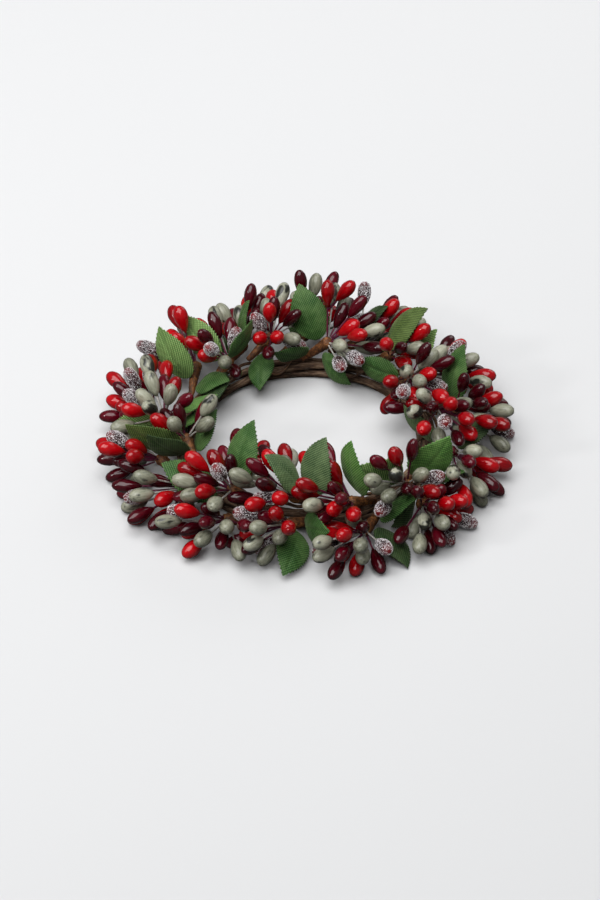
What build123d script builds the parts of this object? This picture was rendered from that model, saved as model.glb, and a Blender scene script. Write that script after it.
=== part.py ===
from build123d import *
import math
import os

import numpy as np

# Candle ring: one grapevine wound into a ring, dressed with taped sprays of pip berries and cloth leaves.
# Millimetres. +Z is up, the origin is the ring's centre on the table, and -Y is the front.
# A bearing is in degrees from the front towards +X: 90 is the right side, 180 the back.
# A place beside the vine is (bearing, out, up): out from the ring's centre line, up from the table.
# A section angle goes round the vine: 0 points away from the candle, 90 up and 180 to the candle.

# Vine
RING_RADIUS = 48.5
VINE_DIAMETER = 3.2
VINE_GAP = 0.5
VINE_TURNS = 4
VINE_TWISTS = 5
VINE_END_GAP = 8.0
FOOT_FLAT = 0.5
VINE_OFFSET = (VINE_DIAMETER + VINE_GAP) / (2 * math.sin(math.pi / VINE_TURNS))
BUNDLE_RADIUS = VINE_OFFSET + VINE_DIAMETER / 2
BUNDLE_HEIGHT = BUNDLE_RADIUS - FOOT_FLAT

# Tendril that wanders over the top of the vine
TENDRIL_DIAMETER = 1.4
TENDRIL_GAP = 0.35
TENDRIL_WAVES = 9
TENDRIL_SWING = 75.0
TENDRIL_START = 186.0
TENDRIL_END_GAP = 12.0
TENDRIL_OFFSET = BUNDLE_RADIUS + TENDRIL_GAP + TENDRIL_DIAMETER / 2

# Garland: the half widths and the height of its rounded section, about a core above the table
GARLAND_OUT = 30.0
GARLAND_IN = 19.0
GARLAND_UP = 24.0
GARLAND_CORE = 5.0

# Tape stubs
TAPE_MOUTH_RADIUS = 2.5
TAPE_TAIL_RADIUS = 1.1
TAPE_LEAN = 13.0
SEAT_GAP = 0.3

# Threads
THREAD_DIAMETER = 0.7
THREAD_LEAST = 1.5
THREAD_MOST = 18.0
THREAD_START = TAPE_MOUTH_RADIUS + SEAT_GAP

# Berries: length, diameter and the share of the length from the thread to the widest place
BERRY_SIZES = {
    "red": (11.8, 6.0, 0.60),
    "burgundy": (11.8, 5.3, 0.55),
    "sage": (10.8, 5.8, 0.55),
    "frosted": (11.2, 6.3, 0.55),
}
TIP_SHARE = 0.55
BERRY_CLEARANCE = 0.2
WIDEST_FAN = 108.0

# Leaves
LEAF_LENGTH = 25.0
LEAF_WIDTH = 16.5
LEAF_THICKNESS = 0.35
LEAF_RISE = 2.9
LEAF_CUP = 1.8
LEAF_STALK = 1.8
LEAF_TEETH = 9
LEAF_TOOTH = 0.9
MIDDLE_LEAF = 0.86
SMALL_LEAF = 0.74

# A leaf's outline: how its width grows from the stalk and tapers to the tip, the share before the first tooth,
# the crest's share of a tooth and the teeth that would fit on the bare tip
LEAF_GROWTH = 0.62
LEAF_TAPER = 0.88
TOOTH_FREE = 0.06
TOOTH_CREST = 0.72
TIP_TEETH = 0.8
SHELL_MARGIN = 8.0

# A leaf's clearances, the pitch of the points that stand for it, and the parts of it that count as its base,
# its end and its inside
LEAF_CLEARANCE = 0.3
LEAF_SPACING = 1.5
LEAF_PITCH = 1.6
LEAF_BASE = 0.14
LEAF_END = 0.02
LEAF_INSIDE = 0.75
LEAST_LEVER = 0.3

# Settling of the leaves and then of the berries among each other
LEAF_ROUNDS = 110
SETTLE_ROUNDS = 640
SETTLE_STEP = 0.45
SETTLE_LIMIT = 0.7
HOME_PULL = 0.03
SIGHT_PULL = 0.006
SIGHT_BIAS = 1.0
BIAS_ROUNDS = 320
EASE_ROUNDS = 200
NEIGHBOUR_ROUNDS = 15
NEIGHBOUR_MARGIN = 1.5
LEAST_ROOM = 0.05
TINY = 1e-6

# Direction from which the ring is shown, for the turn of each leaf
SHOWN_ELEVATION = 39.0
SHOWN_FROM = np.array([0, -math.cos(math.radians(SHOWN_ELEVATION)), math.sin(math.radians(SHOWN_ELEVATION))])

# A bunch's berries lie in layers, one behind the other from that direction
LAYERS = 3
LAYER_STEP = 4.0
LOWEST_HOME = 4.0

R = "red"
B = "burgundy"
S = "sage"
F = "frosted"

# Each bunch also has short-stemmed berries between its others, of these kinds
INNER_KINDS = (B, R, S)
INNER_THREAD = 2.5

# Sprays, in order from the front. Each bunch has the mouth of its tape as (bearing, out, up), and its
# berries as (kind, bearing, section angle) on the garland, with a last number where one stands further out.
# Each leaf is (share of the way down the tape, tip bearing, tip out, tip up, turn, size), where a turn of 0
# shows the whole face.
SPRAYS = {
    "spray_01": [
        {
            "mouth": (355, 2, 16),
            "berries": [
                (R, 344, 87), (B, 341, 80), (S, 344, 73), (S, 336, 76), (S, 337, 69), (F, 347, 61),
                (R, 343, 54), (B, 337, 57), (S, 351, 118), (R, 346, 132), (B, 341, 116),
            ],
            "leaves": [(0.1, 351, 0, 35, -50, MIDDLE_LEAF), (0.5, 0, -4, 35, 40, 1)],
        },
        {
            "mouth": (354.5, 10, 9.5),
            "berries": [
                (F, 343, 41), (B, 346, 44), (R, 350, 43), (S, 345, 33), (R, 346, 25), (S, 351.5, 31),
                (S, 347, 18), (B, 350, 18), (R, 355, 19), (F, 350, 5), (B, 343, 8),
            ],
            "leaves": [(0.1, 354, 36, 4, 14, MIDDLE_LEAF), (0.3, 6, 24, 17, -20, SMALL_LEAF)],
        },
    ],
    "spray_02": [
        {
            "mouth": (18.5, 6, 14.5),
            "berries": [
                (R, 5, 82), (S, 11, 88), (B, 5, 72), (R, 1, 69), (R, 0, 63), (B, 6, 60), (B, 10, 53),
                (S, 3, 52), (B, 5, 47), (R, 14, 46), (B, 9, 116), (S, 13, 130), (R, 4, 128),
            ],
            "leaves": [(0.3, 21.5, -1, 40, 60, 1)],
        },
        {
            "mouth": (20.5, 15, 7),
            "berries": [
                (S, 6, 30), (R, 11, 29), (S, 15, 33), (B, 9.5, 20), (S, 5, 15), (F, 3, 22), (R, 3, 28),
                (S, 14, 16), (B, 12, 9), (B, 7.5, 1), (R, 14, -1), (B, 20, -1), (F, 22, 12),
            ],
            "leaves": [(0.3, 29, 37, 4, 50, MIDDLE_LEAF), (0.5, 32, 25, 14, 60, SMALL_LEAF)],
        },
    ],
    "spray_03": [
        {
            "mouth": (43, 8, 15),
            "berries": [
                (R, 40, 79), (B, 32, 86), (F, 47, 95), (B, 47, 80), (F, 45, 52), (S, 29, 63), (S, 24, 63),
                (S, 19, 62), (R, 23, 56), (F, 26, 48), (S, 29, 54), (B, 32, 51), (R, 39, 44),
                (S, 36, 122), (B, 30, 132),
            ],
            "leaves": [(0.1, 20, 2, 31, 30, 1), (0.3, 52, 19, 36, -25, 1)],
        },
        {
            "mouth": (45, 14.5, 7.5),
            "berries": [
                (R, 28, 37), (B, 34, 39), (S, 33, 27), (S, 38, 26), (B, 43, 37), (B, 47, 40), (R, 43, 26),
                (R, 46, 19), (R, 50, 8), (B, 41, 13), (B, 37, 10), (B, 37, -3), (S, 32, 8), (B, 28, 17),
                (F, 42.5, -2), (F, 48, -3),
            ],
            "leaves": [(0.2, 31, 25, 13, 50, SMALL_LEAF), (0.5, 57, 30, 26, 78, SMALL_LEAF)],
        },
    ],
    "spray_04": [
        {
            "mouth": (90, 4, 19),
            "berries": [
                (S, 81, 95), (S, 73, 103), (R, 67, 88), (F, 69, 75), (R, 62, 82), (S, 64, 77), (B, 67, 65),
                (B, 78, 71), (S, 83, 60), (R, 74, 64), (R, 74, 55), (S, 80, 43), (R, 75, 44), (B, 82, 128),
            ],
            "leaves": [],
        },
        {
            "mouth": (70, 12.5, 13.5),
            "berries": [
                (S, 64, 43), (B, 57, 44), (R, 67, 24), (R, 73, 8), (B, 63, 12), (B, 68, -2), (S, 58, 20),
                (S, 60, 9), (R, 53, 20), (S, 53, 42),
            ],
            "leaves": [(0.5, 84, -13, 28, 66, MIDDLE_LEAF), (0.1, 80, 28, 25, 50, SMALL_LEAF)],
        },
    ],
    "spray_05": [
        {
            "mouth": (116, -2, 19.5),
            "berries": [
                (R, 100, 122), (R, 95, 135), (R, 90, 110), (F, 80, 118), (S, 98, 95), (F, 95, 84), (R, 86, 80),
                (B, 109, 69), (S, 115, 67), (B, 116, 82), (S, 104, 112),
            ],
            "leaves": [(0.4, 146, -9, 19, 35, SMALL_LEAF)],
        },
        {
            "mouth": (101, 12.5, 9),
            "berries": [
                (B, 94, 50), (B, 87, 51), (R, 92, 34), (S, 93, 18), (B, 97, 24), (R, 100, 17), (R, 86, 25),
                (S, 82, 16), (S, 77, 17), (B, 99, 56), (F, 88, 6), (B, 96, 3), (S, 104, 6),
            ],
            "leaves": [(0.1, 109, 18, 31, 52, 1)],
        },
    ],
    "spray_06": [
        {
            "mouth": (137, 2, 18),
            "berries": [
                (R, 128, 98), (S, 121, 91), (R, 117, 107), (R, 132, 75), (S, 127, 70), (S, 135, 62),
            ],
            "leaves": [(0.1, 130, 14, 36, 52, 1)],
        },
        {
            "mouth": (125, 12, 10),
            "berries": [
                (F, 117, 54), (R, 119, 46), (B, 112, 34), (S, 118, 28), (R, 110, 20), (F, 116, 10), (B, 122, 16),
                (S, 107, 30), (R, 113, 0), (B, 126, 36), (S, 129, 12),
            ],
            "leaves": [(0.2, 127, 22, 36, 55, SMALL_LEAF)],
        },
    ],
    "spray_07": [
        {
            "mouth": (169, -2, 18.5),
            "berries": [
                (R, 172, 72, 1.25), (S, 168, 74, 1.25), (S, 164, 78, 1.18), (B, 159, 75, 1.15),
                (B, 152, 85, 1.05), (R, 161, 90, 0.95), (S, 147, 88), (R, 150, 112), (S, 142, 118),
                (F, 154, 143), (F, 145, 130), (S, 155, 127, 0.9), (B, 141, 108, 0.9),
            ],
            "leaves": [
                (0.2, 183, 10, 40, 12, 1),
                (0.3, 153, -11, 8, -52, SMALL_LEAF),
                (0.6, 196, -9, 19, 60, SMALL_LEAF),
            ],
        },
        {
            "mouth": (157, 11, 12),
            "berries": [
                (R, 150, 55, 1.1), (B, 149, 52, 1.13), (S, 146, 52, 1.1), (B, 142, 58, 1.05), (R, 144, 55, 1.05),
                (F, 159, 66, 1.35), (R, 150, 28), (S, 142, 34), (B, 147, 12), (F, 153, 2), (S, 139, 18),
                (B, 156, 32),
            ],
            "leaves": [(0.2, 145, 20, 36, 62, MIDDLE_LEAF)],
        },
    ],
    "spray_08": [
        {
            "mouth": (196, 4, 18),
            "berries": [
                (R, 197, 78), (R, 191, 76), (F, 203, 88), (B, 187, 90), (S, 182, 94), (R, 204, 117),
                (B, 206, 126), (S, 189, 123), (F, 183, 134), (S, 190, 60, 1.15), (R, 195, 62, 1.15),
            ],
            "leaves": [(0.5, 210, -9, 7, -25, SMALL_LEAF)],
        },
        {
            "mouth": (180, 9, 14),
            "berries": [
                (B, 182, 70, 1.4), (S, 176, 70, 1.37), (B, 169, 70, 1.42), (R, 165, 70, 1.4), (R, 172, 44),
                (S, 178, 30), (B, 167, 34), (F, 163, 18), (R, 173, 12), (S, 167, 2), (B, 180, 4), (S, 184, 46),
            ],
            "leaves": [(0.3, 186, 34, 16, -60, MIDDLE_LEAF)],
        },
    ],
    "spray_09": [
        {
            "mouth": (222, -1, 17),
            "berries": [
                (B, 221, 75), (R, 216, 83), (R, 228, 73), (B, 234, 86), (R, 239, 82), (S, 243, 74),
                (F, 238, 103), (F, 217, 112), (B, 236, 126), (S, 216, 62, 1.05),
            ],
            "leaves": [
                (0.1, 224, 27, 29, 42, 1),
                (0.4, 244, -7, 8, -40, SMALL_LEAF),
                (0.1, 207, 0, 34, -65, SMALL_LEAF),
            ],
        },
        {
            "mouth": (207, 10, 12),
            "berries": [
                (B, 199, 62, 1.15), (B, 198, 66, 1.05), (S, 192, 58, 1.2), (R, 200, 38), (S, 195, 28),
                (B, 204, 22), (F, 191, 40), (R, 193, 10), (B, 200, 3), (S, 209, 44), (F, 207, 6),
            ],
            "leaves": [(0.0, 202, 13, 36, 68, SMALL_LEAF), (0.4, 217, 34, 12, -58, MIDDLE_LEAF)],
        },
    ],
    "spray_10": [
        {
            "mouth": (272, 8, 16.5),
            "berries": [
                (S, 253, 58), (R, 251, 67), (F, 260, 52), (S, 266, 63), (S, 272, 60), (F, 270, 45), (S, 279, 64),
                (B, 276, 44), (R, 270, 80), (B, 278, 87), (S, 278, 36),
            ],
            "leaves": [
                (0.1, 256, -10, 18, 72, MIDDLE_LEAF),
                (0.5, 254, -12, 8, 72, SMALL_LEAF),
                (0.0, 270.5, 36, 11, 35, SMALL_LEAF),
            ],
        },
        {
            "mouth": (230, 11, 11.5),
            "berries": [
                (R, 222, 50, 1.15), (R, 218, 50, 1.15), (S, 215, 55, 1.1), (R, 242, 63), (R, 228, 34), (B, 222, 26),
                (S, 230, 16), (F, 224, 8), (B, 233, 2), (S, 218, 34), (F, 238, 30, 1.12), (S, 236, 48),
            ],
            "leaves": [(0.5, 236, 24, 30, 40, 1), (0.7, 237, -11, 17, 45, SMALL_LEAF)],
        },
    ],
    "spray_11": [
        {
            "mouth": (288, 1, 16),
            "berries": [
                (R, 293, 58), (S, 297, 69), (B, 289, 76), (R, 300, 53), (F, 306, 58), (B, 292, 122), (S, 284, 118),
            ],
            "leaves": [
                (0.2, 290, 27, 20, 50, 1),
                (0.5, 283, -11, 22, 54, SMALL_LEAF),
                (0.45, 293, 26, 24, 50, MIDDLE_LEAF),
            ],
        },
        {
            "mouth": (262, 13, 9),
            "berries": [
                (S, 245, 28, 1.15), (R, 249, 36), (R, 254, 25, 1.1), (F, 257, 40), (B, 262, 37), (R, 265, 26),
                (B, 250, 12), (S, 256, 6), (R, 244, 12), (B, 263, 10), (F, 248, 0),
            ],
            "leaves": [(0.4, 262, 38, 6, -35, SMALL_LEAF)],
        },
    ],
    "spray_12": [
        {
            "mouth": (310, 9, 9.5),
            "berries": [
                (B, 296, 26), (S, 303, 30), (S, 301, 20), (B, 299, 13), (F, 305, 15), (B, 300, 2), (F, 314, 35),
                (S, 309, 17), (R, 307, 0), (S, 304, -2), (B, 315, 19), (R, 313, 6), (B, 310, -3),
            ],
            "leaves": [(0.8, 298, 24, 26, -30, 1)],
        },
        {
            "mouth": (290, 12, 10),
            "berries": [
                (F, 284, 41), (S, 281, 27), (R, 279, 17), (R, 287, 26), (B, 290, 31), (R, 293, 40), (B, 285, 8),
                (S, 275, 4), (B, 291, 6),
            ],
            "leaves": [],
        },
    ],
    "spray_13": [
        {
            "mouth": (329, 6, 16.5),
            "berries": [
                (R, 317, 68), (R, 323, 74), (B, 328, 80), (F, 327, 70), (R, 331, 72), (R, 317, 57), (S, 320, 50),
                (B, 325, 52), (B, 319, 41), (S, 323, 43), (S, 330, 46), (S, 322, 116), (B, 316, 128), (R, 327, 132),
            ],
            "leaves": [(0.0, 329, -8, 36, 42, 1)],
        },
        {
            "mouth": (331, 13.5, 8),
            "berries": [
                (R, 325, 33), (B, 330, 30), (F, 321, 24), (S, 319, 12), (B, 326, 19), (B, 321, 2), (S, 331, 14),
                (R, 327, 2), (B, 336, 22), (B, 340, 34), (S, 340, 12),
            ],
            "leaves": [],
        },
    ],
}

# Part of the ring that each spray's berries and threads are grouped under
QUARTERS = {
    "front": ("spray_13", "spray_01", "spray_02"),
    "right": ("spray_03", "spray_04", "spray_05", "spray_06"),
    "back": ("spray_07", "spray_08", "spray_09"),
    "left": ("spray_10", "spray_11", "spray_12"),
}
THREAD_COLOURS = {"white": (S, F), "dark": (R, B)}

# Points used only to measure and to sweep the two tubes, and to seat a tape stub on them
VINE_BIARCS = 8 * VINE_TURNS
TENDRIL_BIARCS = 8 * TENDRIL_WAVES
SAMPLES_PER_BIARC = 12
TAPE_SAMPLES = 25
SEAT_HALVINGS = 30
APART_DIAMETERS = 4


def unit(vector):
    """Return the vector at length one."""
    return vector / np.linalg.norm(vector, axis=-1, keepdims=True)


def ring_place(bearing, out, up):
    """Return the point at a bearing, out from the ring's centre line and up from the table."""
    angle = np.radians(bearing)
    radius = RING_RADIUS + out
    return np.stack([radius * np.sin(angle), -radius * np.cos(angle), up + 0 * radius], axis=-1)


def bundle_place(bearing, section_angle, offset):
    """Return the point at an offset from the middle of the vine bundle."""
    angle = np.radians(section_angle)
    return ring_place(bearing, offset * np.cos(angle), BUNDLE_HEIGHT + offset * np.sin(angle))


def garland_place(bearing, section_angle, growth=1.0):
    """Return the point on the garland's rounded section, or beyond it by the growth."""
    angle = math.radians(section_angle)
    side = GARLAND_OUT if math.cos(angle) > 0 else GARLAND_IN
    out = side * growth * math.cos(angle)
    return ring_place(bearing, out, GARLAND_CORE + GARLAND_UP * growth * math.sin(angle))


def vine_line(share):
    """Return points of the vine's centre line, which twists round the bundle as it goes round the ring."""
    length = 360 * VINE_TURNS - math.degrees(VINE_END_GAP / RING_RADIUS)
    bearing = length * share
    return bundle_place(bearing, bearing * VINE_TWISTS / VINE_TURNS - 90, VINE_OFFSET)


def tendril_line(share):
    """Return points of the tendril's centre line, which swings from side to side over the bundle."""
    length = 360 - math.degrees(TENDRIL_END_GAP / RING_RADIUS)
    bearing = TENDRIL_START + length * share
    swing = 90 + TENDRIL_SWING * np.sin(np.radians(TENDRIL_WAVES * length * share))
    return bundle_place(bearing, swing, TENDRIL_OFFSET)


def biarc(start, start_way, end, end_way):
    """Return two arcs that leave the start and reach the end along the given directions."""
    chord = end - start
    ways = start_way + end_way
    spread = 2 * (1 - start_way @ end_way)
    along = chord @ ways
    reach = (math.sqrt(along**2 + spread * (chord @ chord)) - along) / spread
    first = start + reach * start_way
    second = end - reach * end_way
    middle = (first + second) / 2
    return [
        TangentArc(tuple(start), tuple(middle), tangent=tuple(start_way)),
        TangentArc(tuple(middle), tuple(end), tangent=tuple(second - first)),
    ]


def tube(line, pieces, diameter):
    """Return one round tube swept along a line that is a function of its share from 0 to 1."""
    shares = np.linspace(0, 1, pieces + 1)
    points = line(shares)
    ways = unit(line(shares + TINY) - line(shares - TINY))
    arcs = []
    for i in range(pieces):
        arcs += biarc(points[i], ways[i], points[i + 1], ways[i + 1])
    section = Plane(origin=tuple(points[0]), z_dir=tuple(ways[0])) * Circle(diameter / 2)
    return sweep(section, path=Wire(arcs))


def least_self_gap(points, diameter):
    """Return the least gap of a tube to itself, between points that lie well apart along it."""
    steps = np.linalg.norm(np.diff(points, axis=0), axis=1)
    lengths = np.concatenate([[0], np.cumsum(steps)])
    apart = np.abs(lengths[:, None] - lengths[None, :]) > APART_DIAMETERS * diameter
    distances = np.linalg.norm(points[:, None] - points[None, :], axis=2)
    return distances[apart].min() - diameter


def make_vine():
    """Return the wound vine, cut flat underneath where the ring stands."""
    vine = tube(vine_line, VINE_BIARCS, VINE_DIAMETER)
    below = Pos(0, 0, -BUNDLE_RADIUS) * Box(4 * RING_RADIUS, 4 * RING_RADIUS, 2 * BUNDLE_RADIUS)
    return vine - below


def make_berry(kind):
    """Return a berry on its thread's end at the origin, with its tip up."""
    length, diameter, widest = BERRY_SIZES[kind]
    radius = diameter / 2
    waist = widest * length
    neck = THREAD_DIAMETER / 2
    lower = TangentArc((radius, waist), (neck, 0), tangent=(0, -1))
    height = length - waist
    tip = TIP_SHARE * radius
    side = (radius**2 + height**2 - 2 * height * tip) / (2 * (radius - tip))
    centre = Vector(0, length - tip)
    spoke = (centre - Vector(radius - side, waist)).normalized() * tip
    upper = TangentArc((radius, waist), centre + spoke, tangent=(0, 1))
    cap = TangentArc(centre + spoke, (0, length), tangent=(-spoke.Y, spoke.X))
    axis_line = Polyline((0, length), (0, 0), (neck, 0))
    profile = make_face([lower, upper, cap, axis_line])
    return revolve(Plane.XZ * profile, Axis.Z)


def make_tape(tail, mouth):
    """Return a stub of wound tape that widens from its tail on the vine to its rounded mouth."""
    length = np.linalg.norm(mouth - tail)
    side = Polyline((0, length + TAPE_MOUTH_RADIUS), (0, 0), (TAPE_TAIL_RADIUS, 0), (TAPE_MOUTH_RADIUS, length))
    dome = CenterArc((0, length), TAPE_MOUTH_RADIUS, 0, 90)
    stub = revolve(Plane.XZ * make_face([side, dome]), Axis.Z)
    return Plane(origin=tuple(tail), z_dir=tuple(unit(mouth - tail))).location * stub


def leaf_half_width(share):
    """Return half a leaf's width at a share of its length, from the stalk to the pointed tip."""
    widest = LEAF_GROWTH / (LEAF_GROWTH + LEAF_TAPER)
    top = widest**LEAF_GROWTH * (1 - widest) ** LEAF_TAPER
    return LEAF_WIDTH / 2 * share**LEAF_GROWTH * (1 - share) ** LEAF_TAPER / top


def leaf_edge():
    """Return one toothed edge of a leaf, from the stalk to just before the tip."""
    edge = [(0, LEAF_STALK / 2)]
    pitch = (1 - TOOTH_FREE) / (LEAF_TEETH + TIP_TEETH)
    for tooth in range(LEAF_TEETH):
        crest = TOOTH_FREE + (tooth + TOOTH_CREST) * pitch
        valley = TOOTH_FREE + (tooth + 1) * pitch
        edge.append((crest * LEAF_LENGTH, leaf_half_width(crest)))
        depth = min(LEAF_TOOTH, leaf_half_width(valley) / 3)
        edge.append((valley * LEAF_LENGTH, leaf_half_width(valley) - depth))
    return edge


def make_leaf():
    """Return an arched leaf with its stalk at the origin and its tip on +X, with its face up."""
    arch = (LEAF_LENGTH**2 / 4 + LEAF_RISE**2) / (2 * LEAF_RISE)
    cup = (LEAF_WIDTH**2 / 4 + LEAF_CUP**2) / (2 * LEAF_CUP)
    middle = Vector(LEAF_LENGTH / 2, 0, LEAF_RISE - arch)
    span = math.degrees(math.asin(LEAF_WIDTH / 2 / cup)) + SHELL_MARGIN
    strip = [
        CenterArc((0, arch - cup), cup, 90 - span, 2 * span),
        CenterArc((0, arch - cup), cup - LEAF_THICKNESS, 90 - span, 2 * span),
    ]
    ends = [Line(strip[0] @ i, strip[1] @ i) for i in (0, 1)]
    across = Plane(origin=middle, x_dir=(0, 1, 0), z_dir=(1, 0, 0))
    reach = math.degrees(math.asin(LEAF_LENGTH / 2 / arch)) + SHELL_MARGIN
    hinge = Axis(middle, (0, 1, 0))
    shell = revolve(across * make_face(strip + ends), hinge, revolution_arc=2 * reach)
    shell = shell.rotate(hinge, -reach)
    edge = leaf_edge()
    mirrored = [(x, -y) for x, y in reversed(edge)]
    outline = make_face(Polyline(*edge, (LEAF_LENGTH, 0), *mirrored, close=True))
    return shell & extrude(outline, LEAF_LENGTH / 2, both=True)


def leaf_points():
    """Return points on the middle of a leaf, in the leaf's own frame."""
    arch = (LEAF_LENGTH**2 / 4 + LEAF_RISE**2) / (2 * LEAF_RISE)
    cup = (LEAF_WIDTH**2 / 4 + LEAF_CUP**2) / (2 * LEAF_CUP)
    points = []
    for share in np.linspace(LEAF_END, 1 - LEAF_END, 1 + math.ceil(LEAF_LENGTH / LEAF_PITCH)):
        half = max(leaf_half_width(share), LEAF_STALK / 2)
        for y in np.linspace(-half, half, 1 + 2 * math.ceil(half / LEAF_PITCH)):
            fall = cup - math.sqrt(cup**2 - y**2)
            x = LEAF_LENGTH * (share - 1 / 2)
            z = LEAF_RISE - arch + math.sqrt((arch - fall) ** 2 - x**2)
            points.append((share * LEAF_LENGTH, y, z - LEAF_THICKNESS / 2))
    return np.array(points)


def leaf_inside(points):
    """Return which points of a leaf lie away from its edge."""
    share = points[:, 0] / LEAF_LENGTH
    within = np.abs(points[:, 1]) < LEAF_INSIDE * leaf_half_width(share)
    return within & (share > LEAF_BASE) & (share < 1 - LEAF_BASE)


def tape_gap(tail, mouth, tubes):
    """Return the least gap between a tape stub and the tubes, as (points, radius)."""
    shares = np.linspace(0, 1, TAPE_SAMPLES)[:, None]
    axis = tail + shares * (mouth - tail)
    radii = TAPE_TAIL_RADIUS + shares * (TAPE_MOUTH_RADIUS - TAPE_TAIL_RADIUS)
    gaps = []
    for points, radius in tubes:
        distances = np.linalg.norm(axis[:, None] - points[None, :], axis=2)
        gaps.append((distances - radii - radius).min())
    return min(gaps)


def seat_tail(mouth, place, tubes):
    """Return the tail that brings a tape stub down to its seat on the vine or the tendril."""
    bearing, out, up = place
    section_angle = math.degrees(math.atan2(up - BUNDLE_HEIGHT, out))
    low = VINE_OFFSET
    high = math.hypot(up - BUNDLE_HEIGHT, out)
    for _ in range(SEAT_HALVINGS):
        offset = (low + high) / 2
        tail = bundle_place(bearing + TAPE_LEAN, section_angle, offset)
        if tape_gap(tail, mouth, tubes) < SEAT_GAP:
            low = offset
        else:
            high = offset
    return tail


def leaf_frame(base, tip, turn):
    """Return a leaf's plane, with X from its stalk to its tip and its face turned from the shown side."""
    along = unit(tip - base)
    face = unit(SHOWN_FROM - (SHOWN_FROM @ along) * along)
    side = np.cross(face, along)
    angle = math.radians(turn)
    face = math.cos(angle) * face + math.sin(angle) * side
    return Plane(origin=tuple(base), x_dir=tuple(along), z_dir=tuple(face))


def seat_leaf(leaf, tail, mouth):
    """Return the place on a tape stub's side where a leaf starts."""
    down, bearing, out, up = leaf[:4]
    root = mouth + down * (tail - mouth)
    radius = TAPE_MOUTH_RADIUS + down * (TAPE_TAIL_RADIUS - TAPE_MOUTH_RADIUS)
    axis = unit(mouth - tail)
    way = unit(ring_place(bearing, out, up) - root)
    way = unit(way - (way @ axis) * axis)
    return root + (radius + SEAT_GAP + LEAF_THICKNESS) * way


def nearest_between(a, b, c, d):
    """Return the nearest points of segments a to b and c to d, row by row."""
    first = b - a
    second = d - c
    apart = a - c
    aa = np.maximum((first * first).sum(1), TINY)
    bb = np.maximum((second * second).sum(1), TINY)
    ab = (first * second).sum(1)
    ad = (first * apart).sum(1)
    bd = (second * apart).sum(1)
    det = np.maximum(aa * bb - ab * ab, TINY)
    s = np.clip((ab * bd - ad * bb) / det, 0, 1)
    t = np.clip((ab * s + bd) / bb, 0, 1)
    s = np.clip((ab * t - ad) / aa, 0, 1)
    return a + s[:, None] * first, c + t[:, None] * second


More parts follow.
